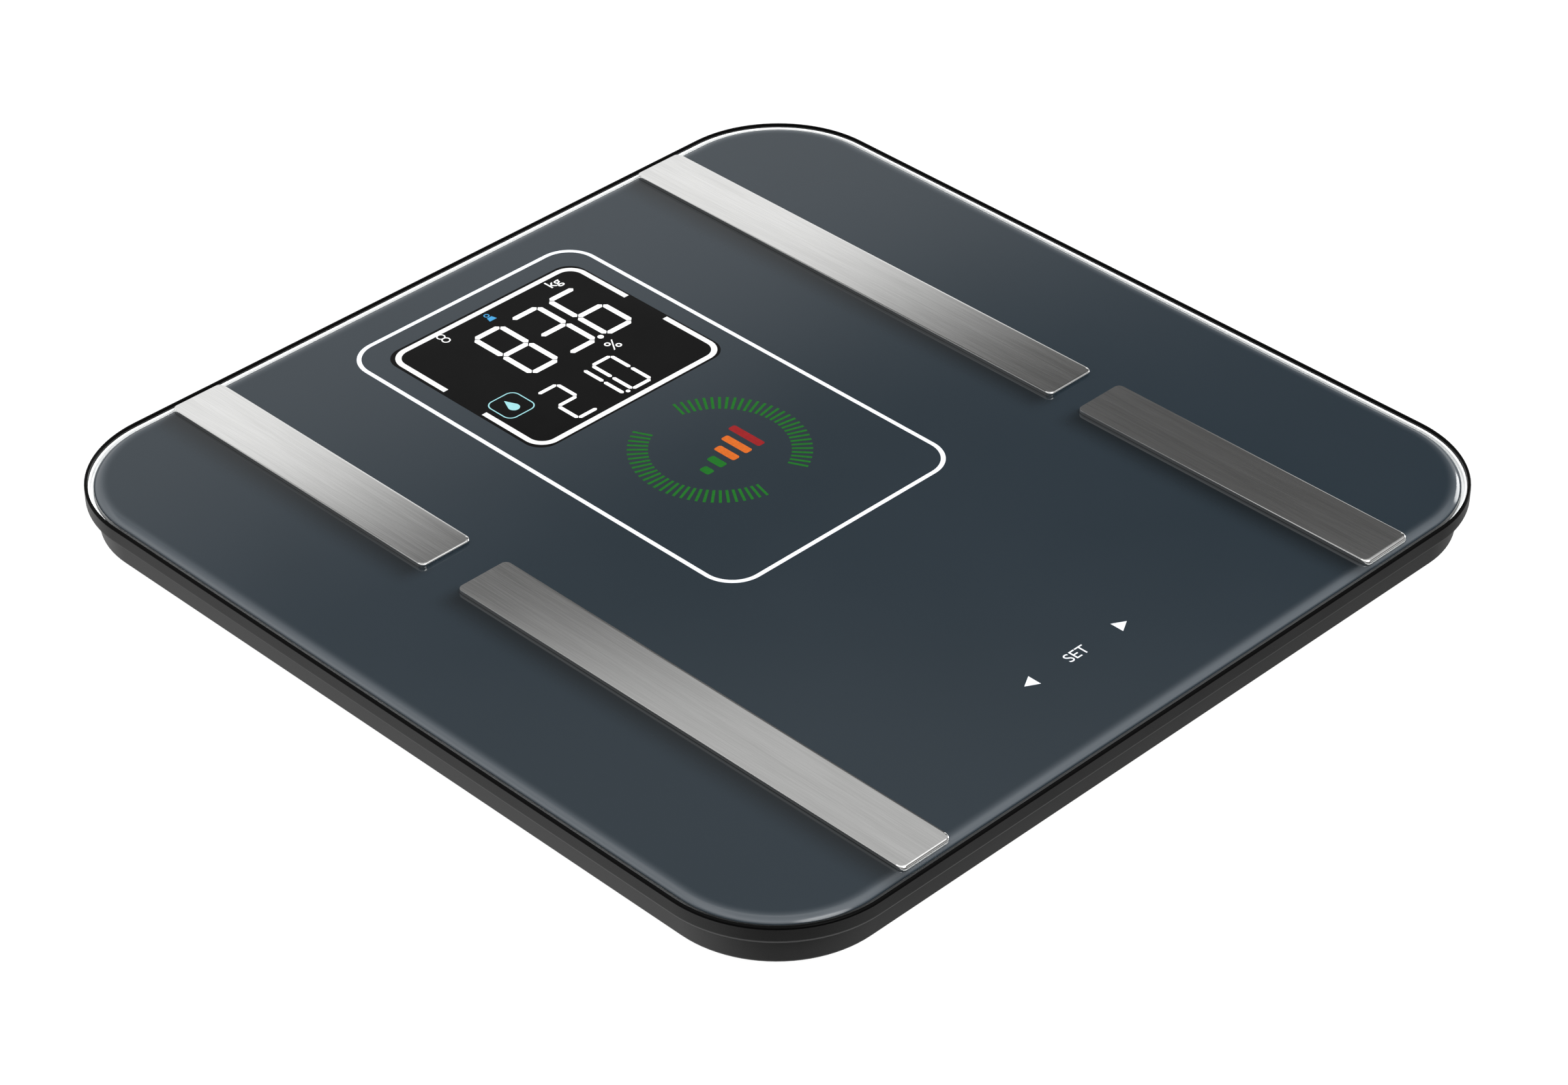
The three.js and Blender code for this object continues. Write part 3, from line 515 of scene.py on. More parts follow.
screw_steel = metal("screw_steel", (0.50, 0.51, 0.53, 1.0), 0.3)
head_base = screw_low.z + screw_head_height
head_round = 0.5 * mm
head_break = 0.15 * mm
recess_depth = 0.9 * mm
recess_sides = ((3 * mm, 0.7 * mm), (0.7 * mm, 3 * mm))
for name, (x, y, _) in zip(corners, screw_places):
    head = turned([
        (0, screw_low.z),
        (screw_head_radius - head_round, screw_low.z),
        (screw_head_radius - head_break, screw_low.z + head_break),
        (screw_head_radius, screw_low.z + head_round),
        (screw_head_radius, head_base),
        (screw_shank_radius, head_base),
        (screw_shank_radius, screw_high.z - screw_shank_radius),
        (0, screw_high.z),
    ], 48)
    slots = []
    for sides in recess_sides:
        slot_outline = rectangle(*sides, 0.1 * mm)
        slots.append(prism(slot_outline, screw_low.z - past_face, screw_low.z + recess_depth))
    screw = at(x, y, carve(head, [], slots))
    make(f"cover_screw_turned_{name}", screw, screw_steel, "chassis", [f"cover_screw_{name}"])

# ---- Feet ---------------------------------------------------------------------------------------
# Each foot is a black moulded cap that presses on its load cell, with a grooved rubber tread set
# in its lower face. The foot sinks by a fraction of a millimetre under load.
foot_plastic = moulded("foot_plastic", grey(0.008), grey(0.013), 0.5)
tread_rubber = moulded("tread_rubber", grey(0.006), grey(0.012), 0.85, grain=0.6)
cap_low, cap_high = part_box("foot_cap_rear_left")
pad_low, pad_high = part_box("foot_pad_rear_left")
flange_radius = (cap_high.x - cap_low.x) / 2
pad_radius = (pad_high.x - pad_low.x) / 2
flange_low = cover_inside + seat_gap
flange_high = flange_low + 1 * mm
foot_stem = 5 * mm
foot_round = 1.5 * mm
cap_profile = [(0, pad_high.z + seat_gap), (pad_radius + seat_gap, pad_high.z + seat_gap)]
cap_profile += [(pad_radius + seat_gap, cap_low.z), (foot_radius - foot_round, cap_low.z)]
for sine, cosine in rounding(6, first=1):
    cap_profile.append((foot_radius - foot_round * (1 - sine), cap_low.z + foot_round * (1 - cosine)))
cap_profile += [(foot_radius, flange_low), (flange_radius, flange_low), (flange_radius, flange_high)]
cap_profile += [(foot_stem, flange_high), (foot_stem, cap_high.z), (0, cap_high.z)]
groove_pitch = 2.6 * mm
groove_width = 0.9 * mm
groove_depth = 0.5 * mm
groove_slope = 0.15 * mm
tread_edge = 0.6 * mm
tread_break = 0.18 * mm
pad_profile = [(0, pad_low.z)]
for groove in range(1, 6):
    inner = groove * groove_pitch - groove_width / 2
    outer = inner + groove_width
    pad_profile += [(inner, pad_low.z), (inner + groove_slope, groove_depth)]
    pad_profile += [(outer - groove_slope, groove_depth), (outer, pad_low.z)]
pad_profile += [(pad_radius - tread_edge, pad_low.z), (pad_radius - tread_break, pad_low.z + tread_break)]
pad_profile += [(pad_radius, pad_low.z + tread_edge), (pad_radius, pad_high.z), (0, pad_high.z)]
for name, (x, y, _) in zip(corners, foot_places):
    cap = at(x, y, turned(cap_profile, 96))
    tread = at(x, y, turned(pad_profile, 96))
    foot = f"foot_{name}"
    make(f"foot_cap_moulding_{name}", cap, foot_plastic, foot, [f"foot_cap_{name}"])
    make(f"foot_tread_{name}", tread, tread_rubber, foot, [f"foot_pad_{name}"])

# ---- Battery door -------------------------------------------------------------------------------
# A thin moulded flap, flush with the cover, that turns on two stub pins at its half-round front
# edge and snaps shut on a finger at its rear. Three grooves give the thumb a grip.
door_plastic = moulded("door_plastic", grey(0.011), grey(0.017), 0.42)
hinge_radius = hinge_z - door_low.z
door_edge = 0.25 * mm
door_side = [(door_high.y - door_edge, door_low.z), (door_high.y, door_low.z + door_edge)]
door_side.append((door_high.y, door_top))
for step in range(13):
    turn = math.pi / 2 + step / 12 * math.pi
    door_side.append((hinge_y + hinge_radius * math.cos(turn), hinge_z + hinge_radius * math.sin(turn)))


def bar(section, half_width):
    """A bar along X with that section in Y and Z."""
    return stacked([[(side * half_width, y, z) for y, z in section] for side in (-1, 1)])


latch_thickness = 0.9 * mm
latch_y = bay_half_length - slide_gap - fit_gap - latch_thickness / 2
latch_outline = rectangle(8 * mm, latch_thickness, 0.2 * mm, (0, latch_y))
latch = prism(latch_outline, door_top - fit_gap, door_high.z)
pins = bar(circle(pin_radius, 24, (hinge_y, hinge_z)), door_high.x)
grip_pitch = 2.5 * mm
grip_radius = 0.62 * mm
grip_half = 8 * mm
grips = []
for index in range(3):
    grip_y = door_high.y - (index + 1.5) * grip_pitch
    grips.append(bar(circle(grip_radius, 24, (grip_y, door_low.z)), grip_half))
door_solid = carve(bar(door_side, door_half), [pins, latch], grips)
make("battery_door_flap", door_solid, door_plastic, "door", ["battery_door"])

# ---- Unit button --------------------------------------------------------------------------------
# A small grey cap with a dished face, sunk in the cover. A flange keeps it in, and it presses the
# switch on the main board.
button_low, button_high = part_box("unit_button")
button_grey = moulded("button_grey", grey(0.16), grey(0.20), 0.5)
button_flange_low = cover_inside + 0.2 * mm
button_flange = (button_high.x - button_low.x) / 2
dish_depth = 0.25 * mm
button_profile = [
    (0, button_low.z + dish_depth),
    (0.5 * button_radius, button_low.z + 0.8 * dish_depth),
    (0.8 * button_radius, button_low.z + 0.2 * dish_depth),
    (0.9 * button_radius, button_low.z),
    (button_radius, button_low.z + dish_depth),
    (button_radius, button_flange_low),
    (button_flange, button_flange_low),
    (button_flange, button_high.z),
    (0, button_high.z),
]
button = at(button_place.x, button_place.y, turned(button_profile, 48))
make("unit_button_cap", button, button_grey, "button", ["unit_button"])

# ---- Upper tray ---------------------------------------------------------------------------------
# The moulded tray that carries the glass. Its rim stands a little outside the glass and level with
# it, polished along the top, and its grained skirt tucks in below to meet the lower cover.
platform_inset = tray_high.x - platform_high.x
lip = 1 * mm
lip_round = 0.45 * mm
lip_inner_round = 0.15 * mm
skirt_low = cover_high.z + 0.06 * mm
tuck_height = 2.3 * mm
locating_wall = 1.5 * mm
locating_depth = 1.6 * mm
tray_top = platform_low.z - 0.4 * mm
seal_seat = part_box("seal_ring")[0].z - seat_gap
gloss_line = tray_high.z - 0.75 * mm
tray_plastic = moulded("tray_plastic", grey(0.012), grey(0.018), 0.36, gloss_above=gloss_line)
wall_line = -cover_inset - cover_wall - fit_gap
tray_profile = [
    (wall_line - locating_wall, tray_under),
    (wall_line - locating_wall, tray_under - locating_depth),
    (wall_line, tray_under - locating_depth),
    (wall_line, skirt_low),
]
for sine, cosine in rounding(10):
    tray_profile.append((-cover_inset * (1 - sine), skirt_low + tuck_height * (1 - cosine)))
tray_profile.append((0, tray_high.z - 2 * lip_round))
for sine, cosine in rounding(6):
    tray_profile.append((-lip_round * (1 - cosine), tray_high.z - lip_round * (1 - sine)))
for sine, cosine in rounding(3):
    inwards = lip - lip_inner_round * (1 - sine)
    tray_profile.append((-inwards, tray_high.z - lip_inner_round * (1 - cosine)))
tray_profile += [
    (-lip, seal_seat),
    (-platform_inset + seat_gap, seal_seat),
    (-platform_inset + seat_gap, tray_top),
]
above_tray = tray_top + past_face
below_tray = tray_under - past_face


def window(node, gap):
    """The opening that clears a node of the frame by that gap."""
    low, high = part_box(node)
    opening = rectangle(high.x - low.x + 2 * gap, high.y - low.y + 2 * gap, 1 * mm)
    return at((low.x + high.x) / 2, (low.y + high.y) / 2, prism(opening, below_tray, above_tray))


def band(outer, inner, low, high):
    """A flat closed loop between two outlines with the same number of points."""
    loops = [(outer, low), (outer, high), (inner, high), (inner, low)]
    return stacked([[(x, y, height) for x, y in loop] for loop, height in loops], closed=True)


post_wall = 2.2 * mm
post_outline = circle(screw_shank_radius + post_wall)
pilot_outline = circle(screw_shank_radius + seat_gap, 24)
into_tray = tray_under + fit_gap
posts, pilots = [], []
for x, y, _ in screw_places:
    posts.append(at(x, y, prism(post_outline, post_bottom, into_tray)))
    pilots.append(at(x, y, prism(pilot_outline, post_bottom - past_face, screw_high.z + fit_gap)))
cell_half = 17 * mm
rib_width = 2 * mm
rib_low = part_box("load_cell_rear_left")[1].z + seat_gap
rib_outer = 2 * cell_half - 2 * fit_gap
rib_inner = 2 * cell_half - 2 * rib_width - 2 * fit_gap
rib_outlines = (rectangle(rib_outer, rib_outer), rectangle(rib_inner, rib_inner))
ribs = [at(x, y, band(*rib_outlines, rib_low, into_tray)) for x, y, _ in foot_places]
stud_radius = 1.6 * mm
stud_reach = 70 * mm
stud_places = [(centre_of(f"electrode_{name}").x, rear * stud_reach) for name, (_, rear) in corners.items()]
stud_outline = circle(stud_radius + 2 * fit_gap, 24)
stud_holes = [at(x, y, prism(stud_outline, below_tray, above_tray)) for x, y in stud_places]
windows = [window("display_holder", fit_gap), window("touch_board", 2 * fit_gap)]
tray_solid = carve(lofted(tray_profile), [*posts, *ribs], [*windows, *pilots, *stud_holes])
make("upper_tray_moulding", tray_solid, tray_plastic, "chassis", ["upper_tray"])

# ---- Light seal ring ----------------------------------------------------------------------------
# A white silicone strip pressed into the groove between rim and glass: a thin lip that stands
# against the rim, on a flat web. A faint painted glow (emission) stands in for light coming through it.
seal_low, seal_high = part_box("seal_ring")
seal_lip = 0.7 * mm
seal_web = 0.3 * mm


def mottled(name, dark, light, roughness, scale, detail, contrast=None, **sockets):
    """A finish whose colour and (least, added) roughness follow one noise, with set sockets."""
    least, added = roughness
    material, shader, spot = principled(name, light, least)
    noise = spot.noise(scale, detail)
    share = noise.smooth(*contrast) if contrast else noise
    share.tint(dark, light).into(shader, "Base Color")
    (least + added * noise).into(shader, "Roughness")
    for socket, value in sockets.items():
        shader.inputs[socket.replace("_", " ")].default_value = value
    return material


# painted glow: the silicone is given a faint emission, though it is no lamp
glowing_seal_silicone = mottled(
    "glowing_seal_silicone", (0.92, 0.93, 0.93, 1.0), (0.97, 0.98, 0.98, 1.0), (0.35, 0.1), 120.0, 3.0,
    Emission_Color=(0.97, 1.0, 1.0, 1.0), Emission_Strength=0.25,
)
seal_outer = seal_high.x - tray_high.x
seal_inner = -platform_inset + seat_gap
seal_profile = [
    (seal_outer, seal_low.z),
    (seal_outer, seal_high.z - 0.15 * mm),
    (seal_outer - 0.1 * mm, seal_high.z - 0.05 * mm),
    (seal_outer - seal_lip + 0.15 * mm, seal_high.z - 0.1 * mm),
    (seal_outer - seal_lip, seal_high.z - 0.25 * mm),
    (seal_outer - seal_lip, seal_low.z + seal_web),
    (seal_inner, seal_low.z + seal_web),
    (seal_inner, seal_low.z),
]
seal_solid = lofted(seal_profile, closed=True)
make("seal_strip", seal_solid, glowing_seal_silicone, "chassis", ["seal_ring"])

# ---- Glass platform -----------------------------------------------------------------------------
# Toughened glass, painted slate on its underside. Its polished shoulder falls to a crisp edge, along
# which a paler band is painted in as a highlight. A painted shadow darkens the slate beside each
# strip, whose stud goes through a drilled hole.
shoulder = 2.7 * mm
shoulder_drop = 1.25 * mm
glass_chamfer = 0.5 * mm
crisp_width = 0.04 * mm
crisp_height = 0.08 * mm
shoulder_steps = 14
slate, slate_shader, slate_spot = principled("slate_glass", (0.017, 0.027, 0.036, 1.0), 0.1)
across, along, height = slate_spot.parts()
straight = tray_high.x - corner_radius
beyond_x = abs(across) - straight
beyond_y = abs(along) - straight
corner_reach = (beyond_x.most(0.0) ** 2.0 + beyond_y.most(0.0) ** 2.0) ** 0.5
from_edge = corner_radius - platform_inset - (corner_reach + beyond_x.most(beyond_y).least(0.0))
# painted highlight: a paler band is painted into the slate's colour along the glass edge, in place of light
# on the shoulder
painted_edge_highlight = (1.0 - from_edge.smooth(0.0, 5.0 * mm)) ** 1.3 * from_edge.smooth(0.0, 0.7 * mm)
slate_cloud = slate_spot.noise(9.0, 3.0)
slate_dark, slate_light = (0.0145, 0.0235, 0.0315, 1.0), (0.0165, 0.0258, 0.0345, 1.0)
slate_and_painted_light = slate_cloud.smooth(0.3, 0.7).tint(slate_dark, slate_light)
# the slate's own clouded paint, with the painted edge highlight mixed in
slate_and_painted_light = painted_edge_highlight.tint(slate_and_painted_light, (0.105, 0.12, 0.135, 1.0))
# painted shadow: the slate is darkened beside the -X side of each strip, in place of the shadow the strip
# casts
painted_strip_shadow = 0.0
painted_shadow_depth = 0.85
painted_shadow_reach = 12 * mm
painted_shadow_blur = 4 * mm
for name in corners:
    low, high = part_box(f"electrode_{name}")
    beside = across.smooth(low.x - painted_shadow_reach, low.x + 1 * mm)
    beside = beside * (1.0 - across.smooth(low.x, low.x + painted_shadow_blur))
    abreast = along.smooth(low.y - painted_shadow_blur, low.y + painted_shadow_blur)
    abreast = abreast * (1.0 - along.smooth(high.y - painted_shadow_blur, high.y + painted_shadow_blur))
    painted_strip_shadow = painted_strip_shadow + beside * abreast
# the painted shadow darkens the slate towards near black beside each strip
slate_and_painted_light = (painted_shadow_depth * painted_strip_shadow).tint(slate_and_painted_light, (0.0025, 0.004, 0.005, 1.0))
shoulder_foot = platform_high.z - shoulder_drop
side_wall = 1.0 - height.smooth(shoulder_foot - 0.1 * mm, shoulder_foot)
side_wall.tint(slate_and_painted_light, (0.004, 0.005, 0.006, 1.0)).into(slate_shader, "Base Color")
(0.09 + 0.03 * slate_cloud).into(slate_shader, "Roughness")
slate_shader.inputs["Specular IOR Level"].default_value = 0.35
platform_profile = [
    (-platform_inset - glass_chamfer, platform_low.z),
    (-platform_inset, platform_low.z + glass_chamfer),
    (-platform_inset, platform_high.z - shoulder_drop - crisp_height),
]
for step in range(shoulder_steps + 1):
    share = 1 - step / shoulder_steps
    inwards = platform_inset + shoulder * (1 - share) + (0 if step else crisp_width)
    platform_profile.append((-inwards, platform_high.z - shoulder_drop * share ** 2))
platform_profile.append((-platform_inset - shoulder - 1 * mm, platform_high.z))
under_glass, over_glass = platform_low.z - past_face, platform_high.z + past_face
drill_outline = circle(stud_radius + fit_gap, 24)
stud_drills = [at(x, y, prism(drill_outline, under_glass, over_glass)) for x, y in stud_places]
platform_solid = carve(lofted(platform_profile), [], stud_drills)
make("glass_plate", platform_solid, slate, "chassis", ["glass_platform"], sharp=35)

# ---- Electrode strips ---------------------------------------------------------------------------
# Four stainless strips, brushed along their length. Their front ends are rounded over and polished
# bright, and a welded stud under each goes through the glass to its lead.
strip_corner = 2 * mm
strip_bevel = 0.06 * mm
front_bevel = 0.8 * mm
flat_inset = 0.6 * mm
steel_dark, steel_light = (0.72, 0.72, 0.71, 1.0), (0.86, 0.86, 0.85, 1.0)
steel, steel_shader, steel_spot = principled("brushed_steel", steel_light, 0.07, metallic=1.0)
fine = steel_spot.stretched((1.0, 0.012, 1.0))
broad = steel_spot.stretched((1.0, 0.05, 1.0))
hairs = fine.noise(5200.0, 3.0)
bands = broad.noise(320.0, 2.0)
brushing = 0.65 * hairs + 0.35 * bands
brushing.smooth(0.3, 0.7).tint(steel_dark, steel_light).into(steel_shader, "Base Color")
(0.04 + 0.05 * brushing).into(steel_shader, "Roughness")
hairs.raise_in(steel_shader, 0.02, 0.01 * mm)
for (name, (_, rear)), (stud_x, stud_y) in zip(corners.items(), stud_places):
    node = f"electrode_{name}"
    low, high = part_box(node)
    middle = (low + high) / 2
    strip_low = platform_high.z + 0.02 * mm
    levels = [(strip_bevel, 0, strip_low), (0, 0, strip_low + strip_bevel)]
    end_bevel = front_bevel if rear < 0 else 0.5 * front_bevel
    for sine, cosine in rounding(5):
        ahead = end_bevel * (1 - cosine)
        levels.append((strip_bevel * (1 - cosine), ahead, high.z - end_bevel * (1 - sine)))
    levels.append((strip_bevel + flat_inset, end_bevel + flat_inset, high.z))
    rings = []
    for inset, ahead, height_here in levels:
        size_here = (high.x - low.x - 2 * inset, high.y - low.y - inset - ahead)
        spot_here = (middle.x, middle.y + (ahead - inset) / 2)
        edge = rectangle(*size_here, strip_corner - inset, spot_here, 10)
        rings.append([(x, y, height_here) for x, y in edge])
    stud = at(stud_x, stud_y, prism(circle(stud_radius, 24), low.z, strip_low + fit_gap))
    strip = carve(stacked(rings), [stud], [])
    make(f"electrode_strip_{name}", strip, steel, "chassis", [node], sharp=50)

# ---- Printed outline and keys -------------------------------------------------------------------
# White screen print on the glass: a rounded outline round the display and the dial, and, at the
# front, the word SET between two arrow heads that point left and right.
print_low = platform_high.z - 0.05 * mm
print_high = platform_high.z + 0.02 * mm
ink_dark, ink_light = (0.72, 0.75, 0.79, 1.0), (0.78, 0.81, 0.85, 1.0)
white_ink = mottled("white_ink", ink_dark, ink_light, (0.4, 0.1), 1500.0, 2.0, (0.3, 0.7))


def printed(name, solid, ink):
    """A piece of ink on the glass."""
    make(name, solid, ink, "chassis")


def stroke(path, width, low, high):
    """A flat strip of that width along an open path of (x, y) points."""
    points = [Vector(point) for point in path]
    left, right = [], []
    for index, point in enumerate(points):
        before = points[max(index - 1, 0)]
        after = points[min(index + 1, len(points) - 1)]
        into, out = (point - before).normalized(), (after - point).normalized()
        along = (into + out).normalized()
        across = Vector((-along.y, along.x)) * width / 2
        mitre = max(into.dot(along), 0.5) if into.length else 1
        left.append(point + across / mitre)
        right.append(point - across / mitre)
    return prism([tuple(point) for point in right + left[::-1]], low, high)


def lettering(text, height, centre, low, high, bolder=0.0):
    """A word as flat solid letters, with its capital height or overall height scaled to fit."""
    curve = bpy.data.curves.new("word", "FONT")
    curve.body = text
    curve.extrude = 0.5
    curve.offset = bolder
    curve.resolution_u = 4
    word = link(bpy.data.objects.new("word", curve))
    letters = bmesh.new()
    letters.from_mesh(word.to_mesh())
    bpy.data.curves.remove(curve)
    bmesh.ops.remove_doubles(letters, verts=letters.verts, dist=0.0001)
    spans = [[vert.co[axis] for vert in letters.verts] for axis in range(3)]
    middle = Vector([(min(span) + max(span)) / 2 for span in spans])
    scale = height / (max(spans[1]) - min(spans[1]))
    for vert in letters.verts:
        offset = (vert.co - middle) * scale
        vert.co = (centre[0] + offset.x, centre[1] + offset.y, low if vert.co.z < middle.z else high)
    return letters


outline_width = 97.85 * mm
outline_length = 175.5 * mm
outline_stroke = 1.5 * mm
outline_centre = (-3.22 * mm, 54.25 * mm)
outline_radius = 11.5 * mm
inner_width, inner_length = outline_width - 2 * outline_stroke, outline_length - 2 * outline_stroke
outer_line = rectangle(outline_width, outline_length, outline_radius, outline_centre, 16)
inner_line = rectangle(inner_width, inner_length, outline_radius - outline_stroke, outline_centre, 16)
printed("printed_outline", band(outer_line, inner_line, print_low, print_high), white_ink)

key_line = -124.1 * mm
key_length = 4.35 * mm
key_height = 4.9 * mm
for name, tip, side in (("left", -24.9 * mm, 1), ("right", 18.95 * mm, -1)):
    base = tip + side * key_length
    arrow = [(tip, key_line), (base, key_line - key_height / 2), (base, key_line + key_height / 2)]
    printed(f"key_arrow_{name}", prism(arrow, print_low, print_high), white_ink)
set_centre = (-2.95 * mm, key_line)
printed("key_word_set", lettering("SET", 3.9 * mm, set_centre, print_low, print_high), white_ink)

# ---- Display window -----------------------------------------------------------------------------
# The glossy black window of the display. Under it show a white frame line, broken at both sides,
# and the lit figures, units and icons of a reading.
window_high = print_high + 0.005 * mm
light_high = window_high + 0.015 * mm
window_width = 80.9 * mm
window_length = 74.1 * mm
window_centre = (-2.75 * mm, 96.25 * mm)
window_radius = 6.8 * mm
display_black = mottled(
    "display_black", grey(0.004), grey(0.0065), (0.12, 0.06), 60.0, 2.0, Specular_IOR_Level=0.03,
)


def shown(name, solid, material):
    """A piece of the display's picture."""
    make(name, solid, material, "chassis")


window_outline = rectangle(window_width, window_length, window_radius, window_centre, 16)
shown("display_window", prism(window_outline, print_low, window_high), display_black)


def lit(name, colour, strength, base):
    """A lit segment: it glows evenly, with a faint ripple of the diffuser behind it."""
    material, shader, spot = principled(name, base, 0.4)
    ripple = spot.noise(900.0, 1.0)
    ripple.smooth(0.3, 0.7).tint(shaded(colour, 0.93), colour).into(shader, "Emission Color")
    shader.inputs["Emission Strength"].default_value = strength
    return material


lit_white = lit("lit_white", (1.0, 1.0, 1.0, 1.0), 0.85, grey(0.25))
frame_white = lit("frame_white", (0.9, 0.91, 0.91, 1.0), 0.55, grey(0.4))
lit_blue = lit("lit_blue", (0.02, 0.33, 0.68, 1.0), 0.8, (0.01, 0.08, 0.16, 1.0))
lit_cyan = lit("lit_cyan", (0.36, 0.75, 0.79, 1.0), 0.75, (0.08, 0.18, 0.19, 1.0))

line_outer = (-42.05 * mm, 60.0 * mm, 37.1 * mm, 132.3 * mm)
line_stroke = 1.95 * mm
line_radius = 7 * mm
line_gap = (87.2 * mm, 105.0 * mm)
line_middle = line_stroke / 2
left_x, right_x = line_outer[0] + line_middle, line_outer[2] - line_middle
front_y, rear_y = line_outer[1] + line_middle, line_outer[3] - line_middle
mid_radius = line_radius - line_middle
line_centre = ((left_x + right_x) / 2, (front_y + rear_y) / 2)
whole_line = rectangle(right_x - left_x, rear_y - front_y, mid_radius, line_centre, 16)
half = len(whole_line) // 2
rear_path = [(right_x, line_gap[1]), *whole_line[:half], (left_x, line_gap[1])]
front_path = [(left_x, line_gap[0]), *whole_line[half:], (right_x, line_gap[0])]
line_halves = [stroke(path, line_stroke, print_low, light_high) for path in (rear_path, front_path)]
shown("display_frame_line", together(line_halves), frame_white)

# ---- Display figures ----------------------------------------------------------------------------
# The lit picture: a large weight figure, a smaller percentage, their units and three small icons,
# each made as a flat solid so that the segments keep crisp mitred ends.
segment_shapes = {
    "0": "abcdef", "1": "bc", "2": "abged", "3": "abgcd", "6": "acdefg", "8": "abcdefg",
}


def figure(digit, left, width, bottom, tall, thick):
    """The lit segments of one seven-segment figure."""
    inset = thick / 2
    slit = 0.14 * thick
    x_left, x_right = left + inset, left + width - inset
    y_low, y_high = bottom + inset, bottom + tall - inset
    y_mid = (y_low + y_high) / 2
    ends = {
        "a": ((x_left, y_high), (x_right, y_high)), "d": ((x_left, y_low), (x_right, y_low)),
        "g": ((x_left, y_mid), (x_right, y_mid)), "b": ((x_right, y_mid), (x_right, y_high)),
        "c": ((x_right, y_low), (x_right, y_mid)), "e": ((x_left, y_low), (x_left, y_mid)),
        "f": ((x_left, y_mid), (x_left, y_high)),
    }
    solids = []
    for letter in segment_shapes[digit]:
        start, end = (Vector(point) for point in ends[letter])
        along = (end - start).normalized()
        across = Vector((-along.y, along.x))
        start, end = start + along * slit, end - along * slit
        tip = inset * 0.9
        shape = [
            start, start + along * tip - across * inset, end - along * tip - across * inset,
            end, end - along * tip + across * inset, start + along * tip + across * inset,
        ]
        solids.append(prism([tuple(point) for point in shape], print_low, light_high))
    return solids


def ring(radius, thick, centre, sides=32):
    outer, inner = circle(radius, sides, centre), circle(radius - thick, sides, centre)
    return band(outer, inner, print_low, light_high)


def dot(radius, centre, sides=24):
    return prism(circle(radius, sides, centre), print_low, light_high)


weight_sizes = {"width": 12.95 * mm, "bottom": 92.4 * mm, "tall": 29.2 * mm, "thick": 2.05 * mm}
weight = []
for digit, left in (("8", -16.4 * mm), ("3", -0.35 * mm), ("6", 15.6 * mm)):
    weight += figure(digit, left, **weight_sizes)
weight.append(dot(1.05 * mm, (14.05 * mm, 93.5 * mm)))
shown("figures_weight", together(weight), lit_white)
percentage_sizes = {"width": 9.35 * mm, "bottom": 64.1 * mm, "tall": 19.9 * mm, "thick": 1.4 * mm}
percentage = []
for digit, left in (("2", -22.85 * mm), ("1", -11.45 * mm), ("0", 0.1 * mm)):
    percentage += figure(digit, left, **percentage_sizes)
percentage.append(dot(0.75 * mm, (-1.0 * mm, 64.9 * mm)))
shown("figures_percentage", together(percentage), lit_white)
kilograms = lettering("kg", 5.3 * mm, (24.95 * mm, 126.85 * mm), print_low, light_high, bolder=0.008)
shown("unit_kg", kilograms, lit_white)
percent = lettering("%", 5.0 * mm, (13.7 * mm, 87.4 * mm), print_low, light_high)
shown("unit_percent", percent, lit_white)
link_rings = together([ring(1.5 * mm, 0.45 * mm, (-21.9 * mm, y * mm)) for y in (129.2, 126.7)])
shown("icon_link", link_rings, lit_white)
person_centre = -3.4 * mm
shoulder_points = ((-1.5, 124.9), (1.5, 124.9), (1.0, 126.9), (-1.0, 126.9))
shoulders = prism([(person_centre + x * mm, y * mm) for x, y in shoulder_points], print_low, light_high)
person = together([ring(1.0 * mm, 0.4 * mm, (person_centre, 128.2 * mm)), shoulders])
shown("icon_user", person, lit_blue)
badge_centre = (-32.1 * mm, 84.6 * mm)
badge_size = 12 * mm
badge_radius = 3 * mm
badge_line = 0.4 * mm
badge_inside = badge_size - 2 * badge_line
badge_outer = rectangle(badge_size, badge_size, badge_radius, badge_centre)
badge_inner = rectangle(badge_inside, badge_inside, badge_radius - badge_line, badge_centre)
badge = [band(badge_outer, badge_inner, print_low, light_high)]
drop_radius = 1.9 * mm
drop_centre = (badge_centre[0], badge_centre[1] - 1.2 * mm)
drop_tip = (drop_centre[0], drop_centre[1] + 2.4 * drop_radius)
drop_cut = drop_centre[1] + 0.42 * drop_radius
drop = [point for point in circle(drop_radius, 32, drop_centre) if point[1] < drop_cut]
drop.sort(key=lambda point: math.atan2(point[0] - drop_centre[0], drop_centre[1] - point[1]))
badge.append(prism([*drop, drop_tip], print_low, light_high))
shown("icon_water", together(badge), lit_cyan)

# ---- Dial print ---------------------------------------------------------------------------------
# Coloured screen print in front of the display: a dial of short green ticks, open at the front and
# the rear, around five level bars that rise from green through orange to red.
dial_centre = (-3.0 * mm, 21.9 * mm)
dial_inner = 22.0 * mm
dial_outer = 28.5 * mm
tick_step = 5
tick_width = 0.9 * mm


def coloured_ink(name, colour):
    darker = shaded(colour, 0.85)
    return mottled(name, darker, colour, (0.35, 0.1), 1500.0, 2.0, (0.3, 0.7), Specular_IOR_Level=0.1)


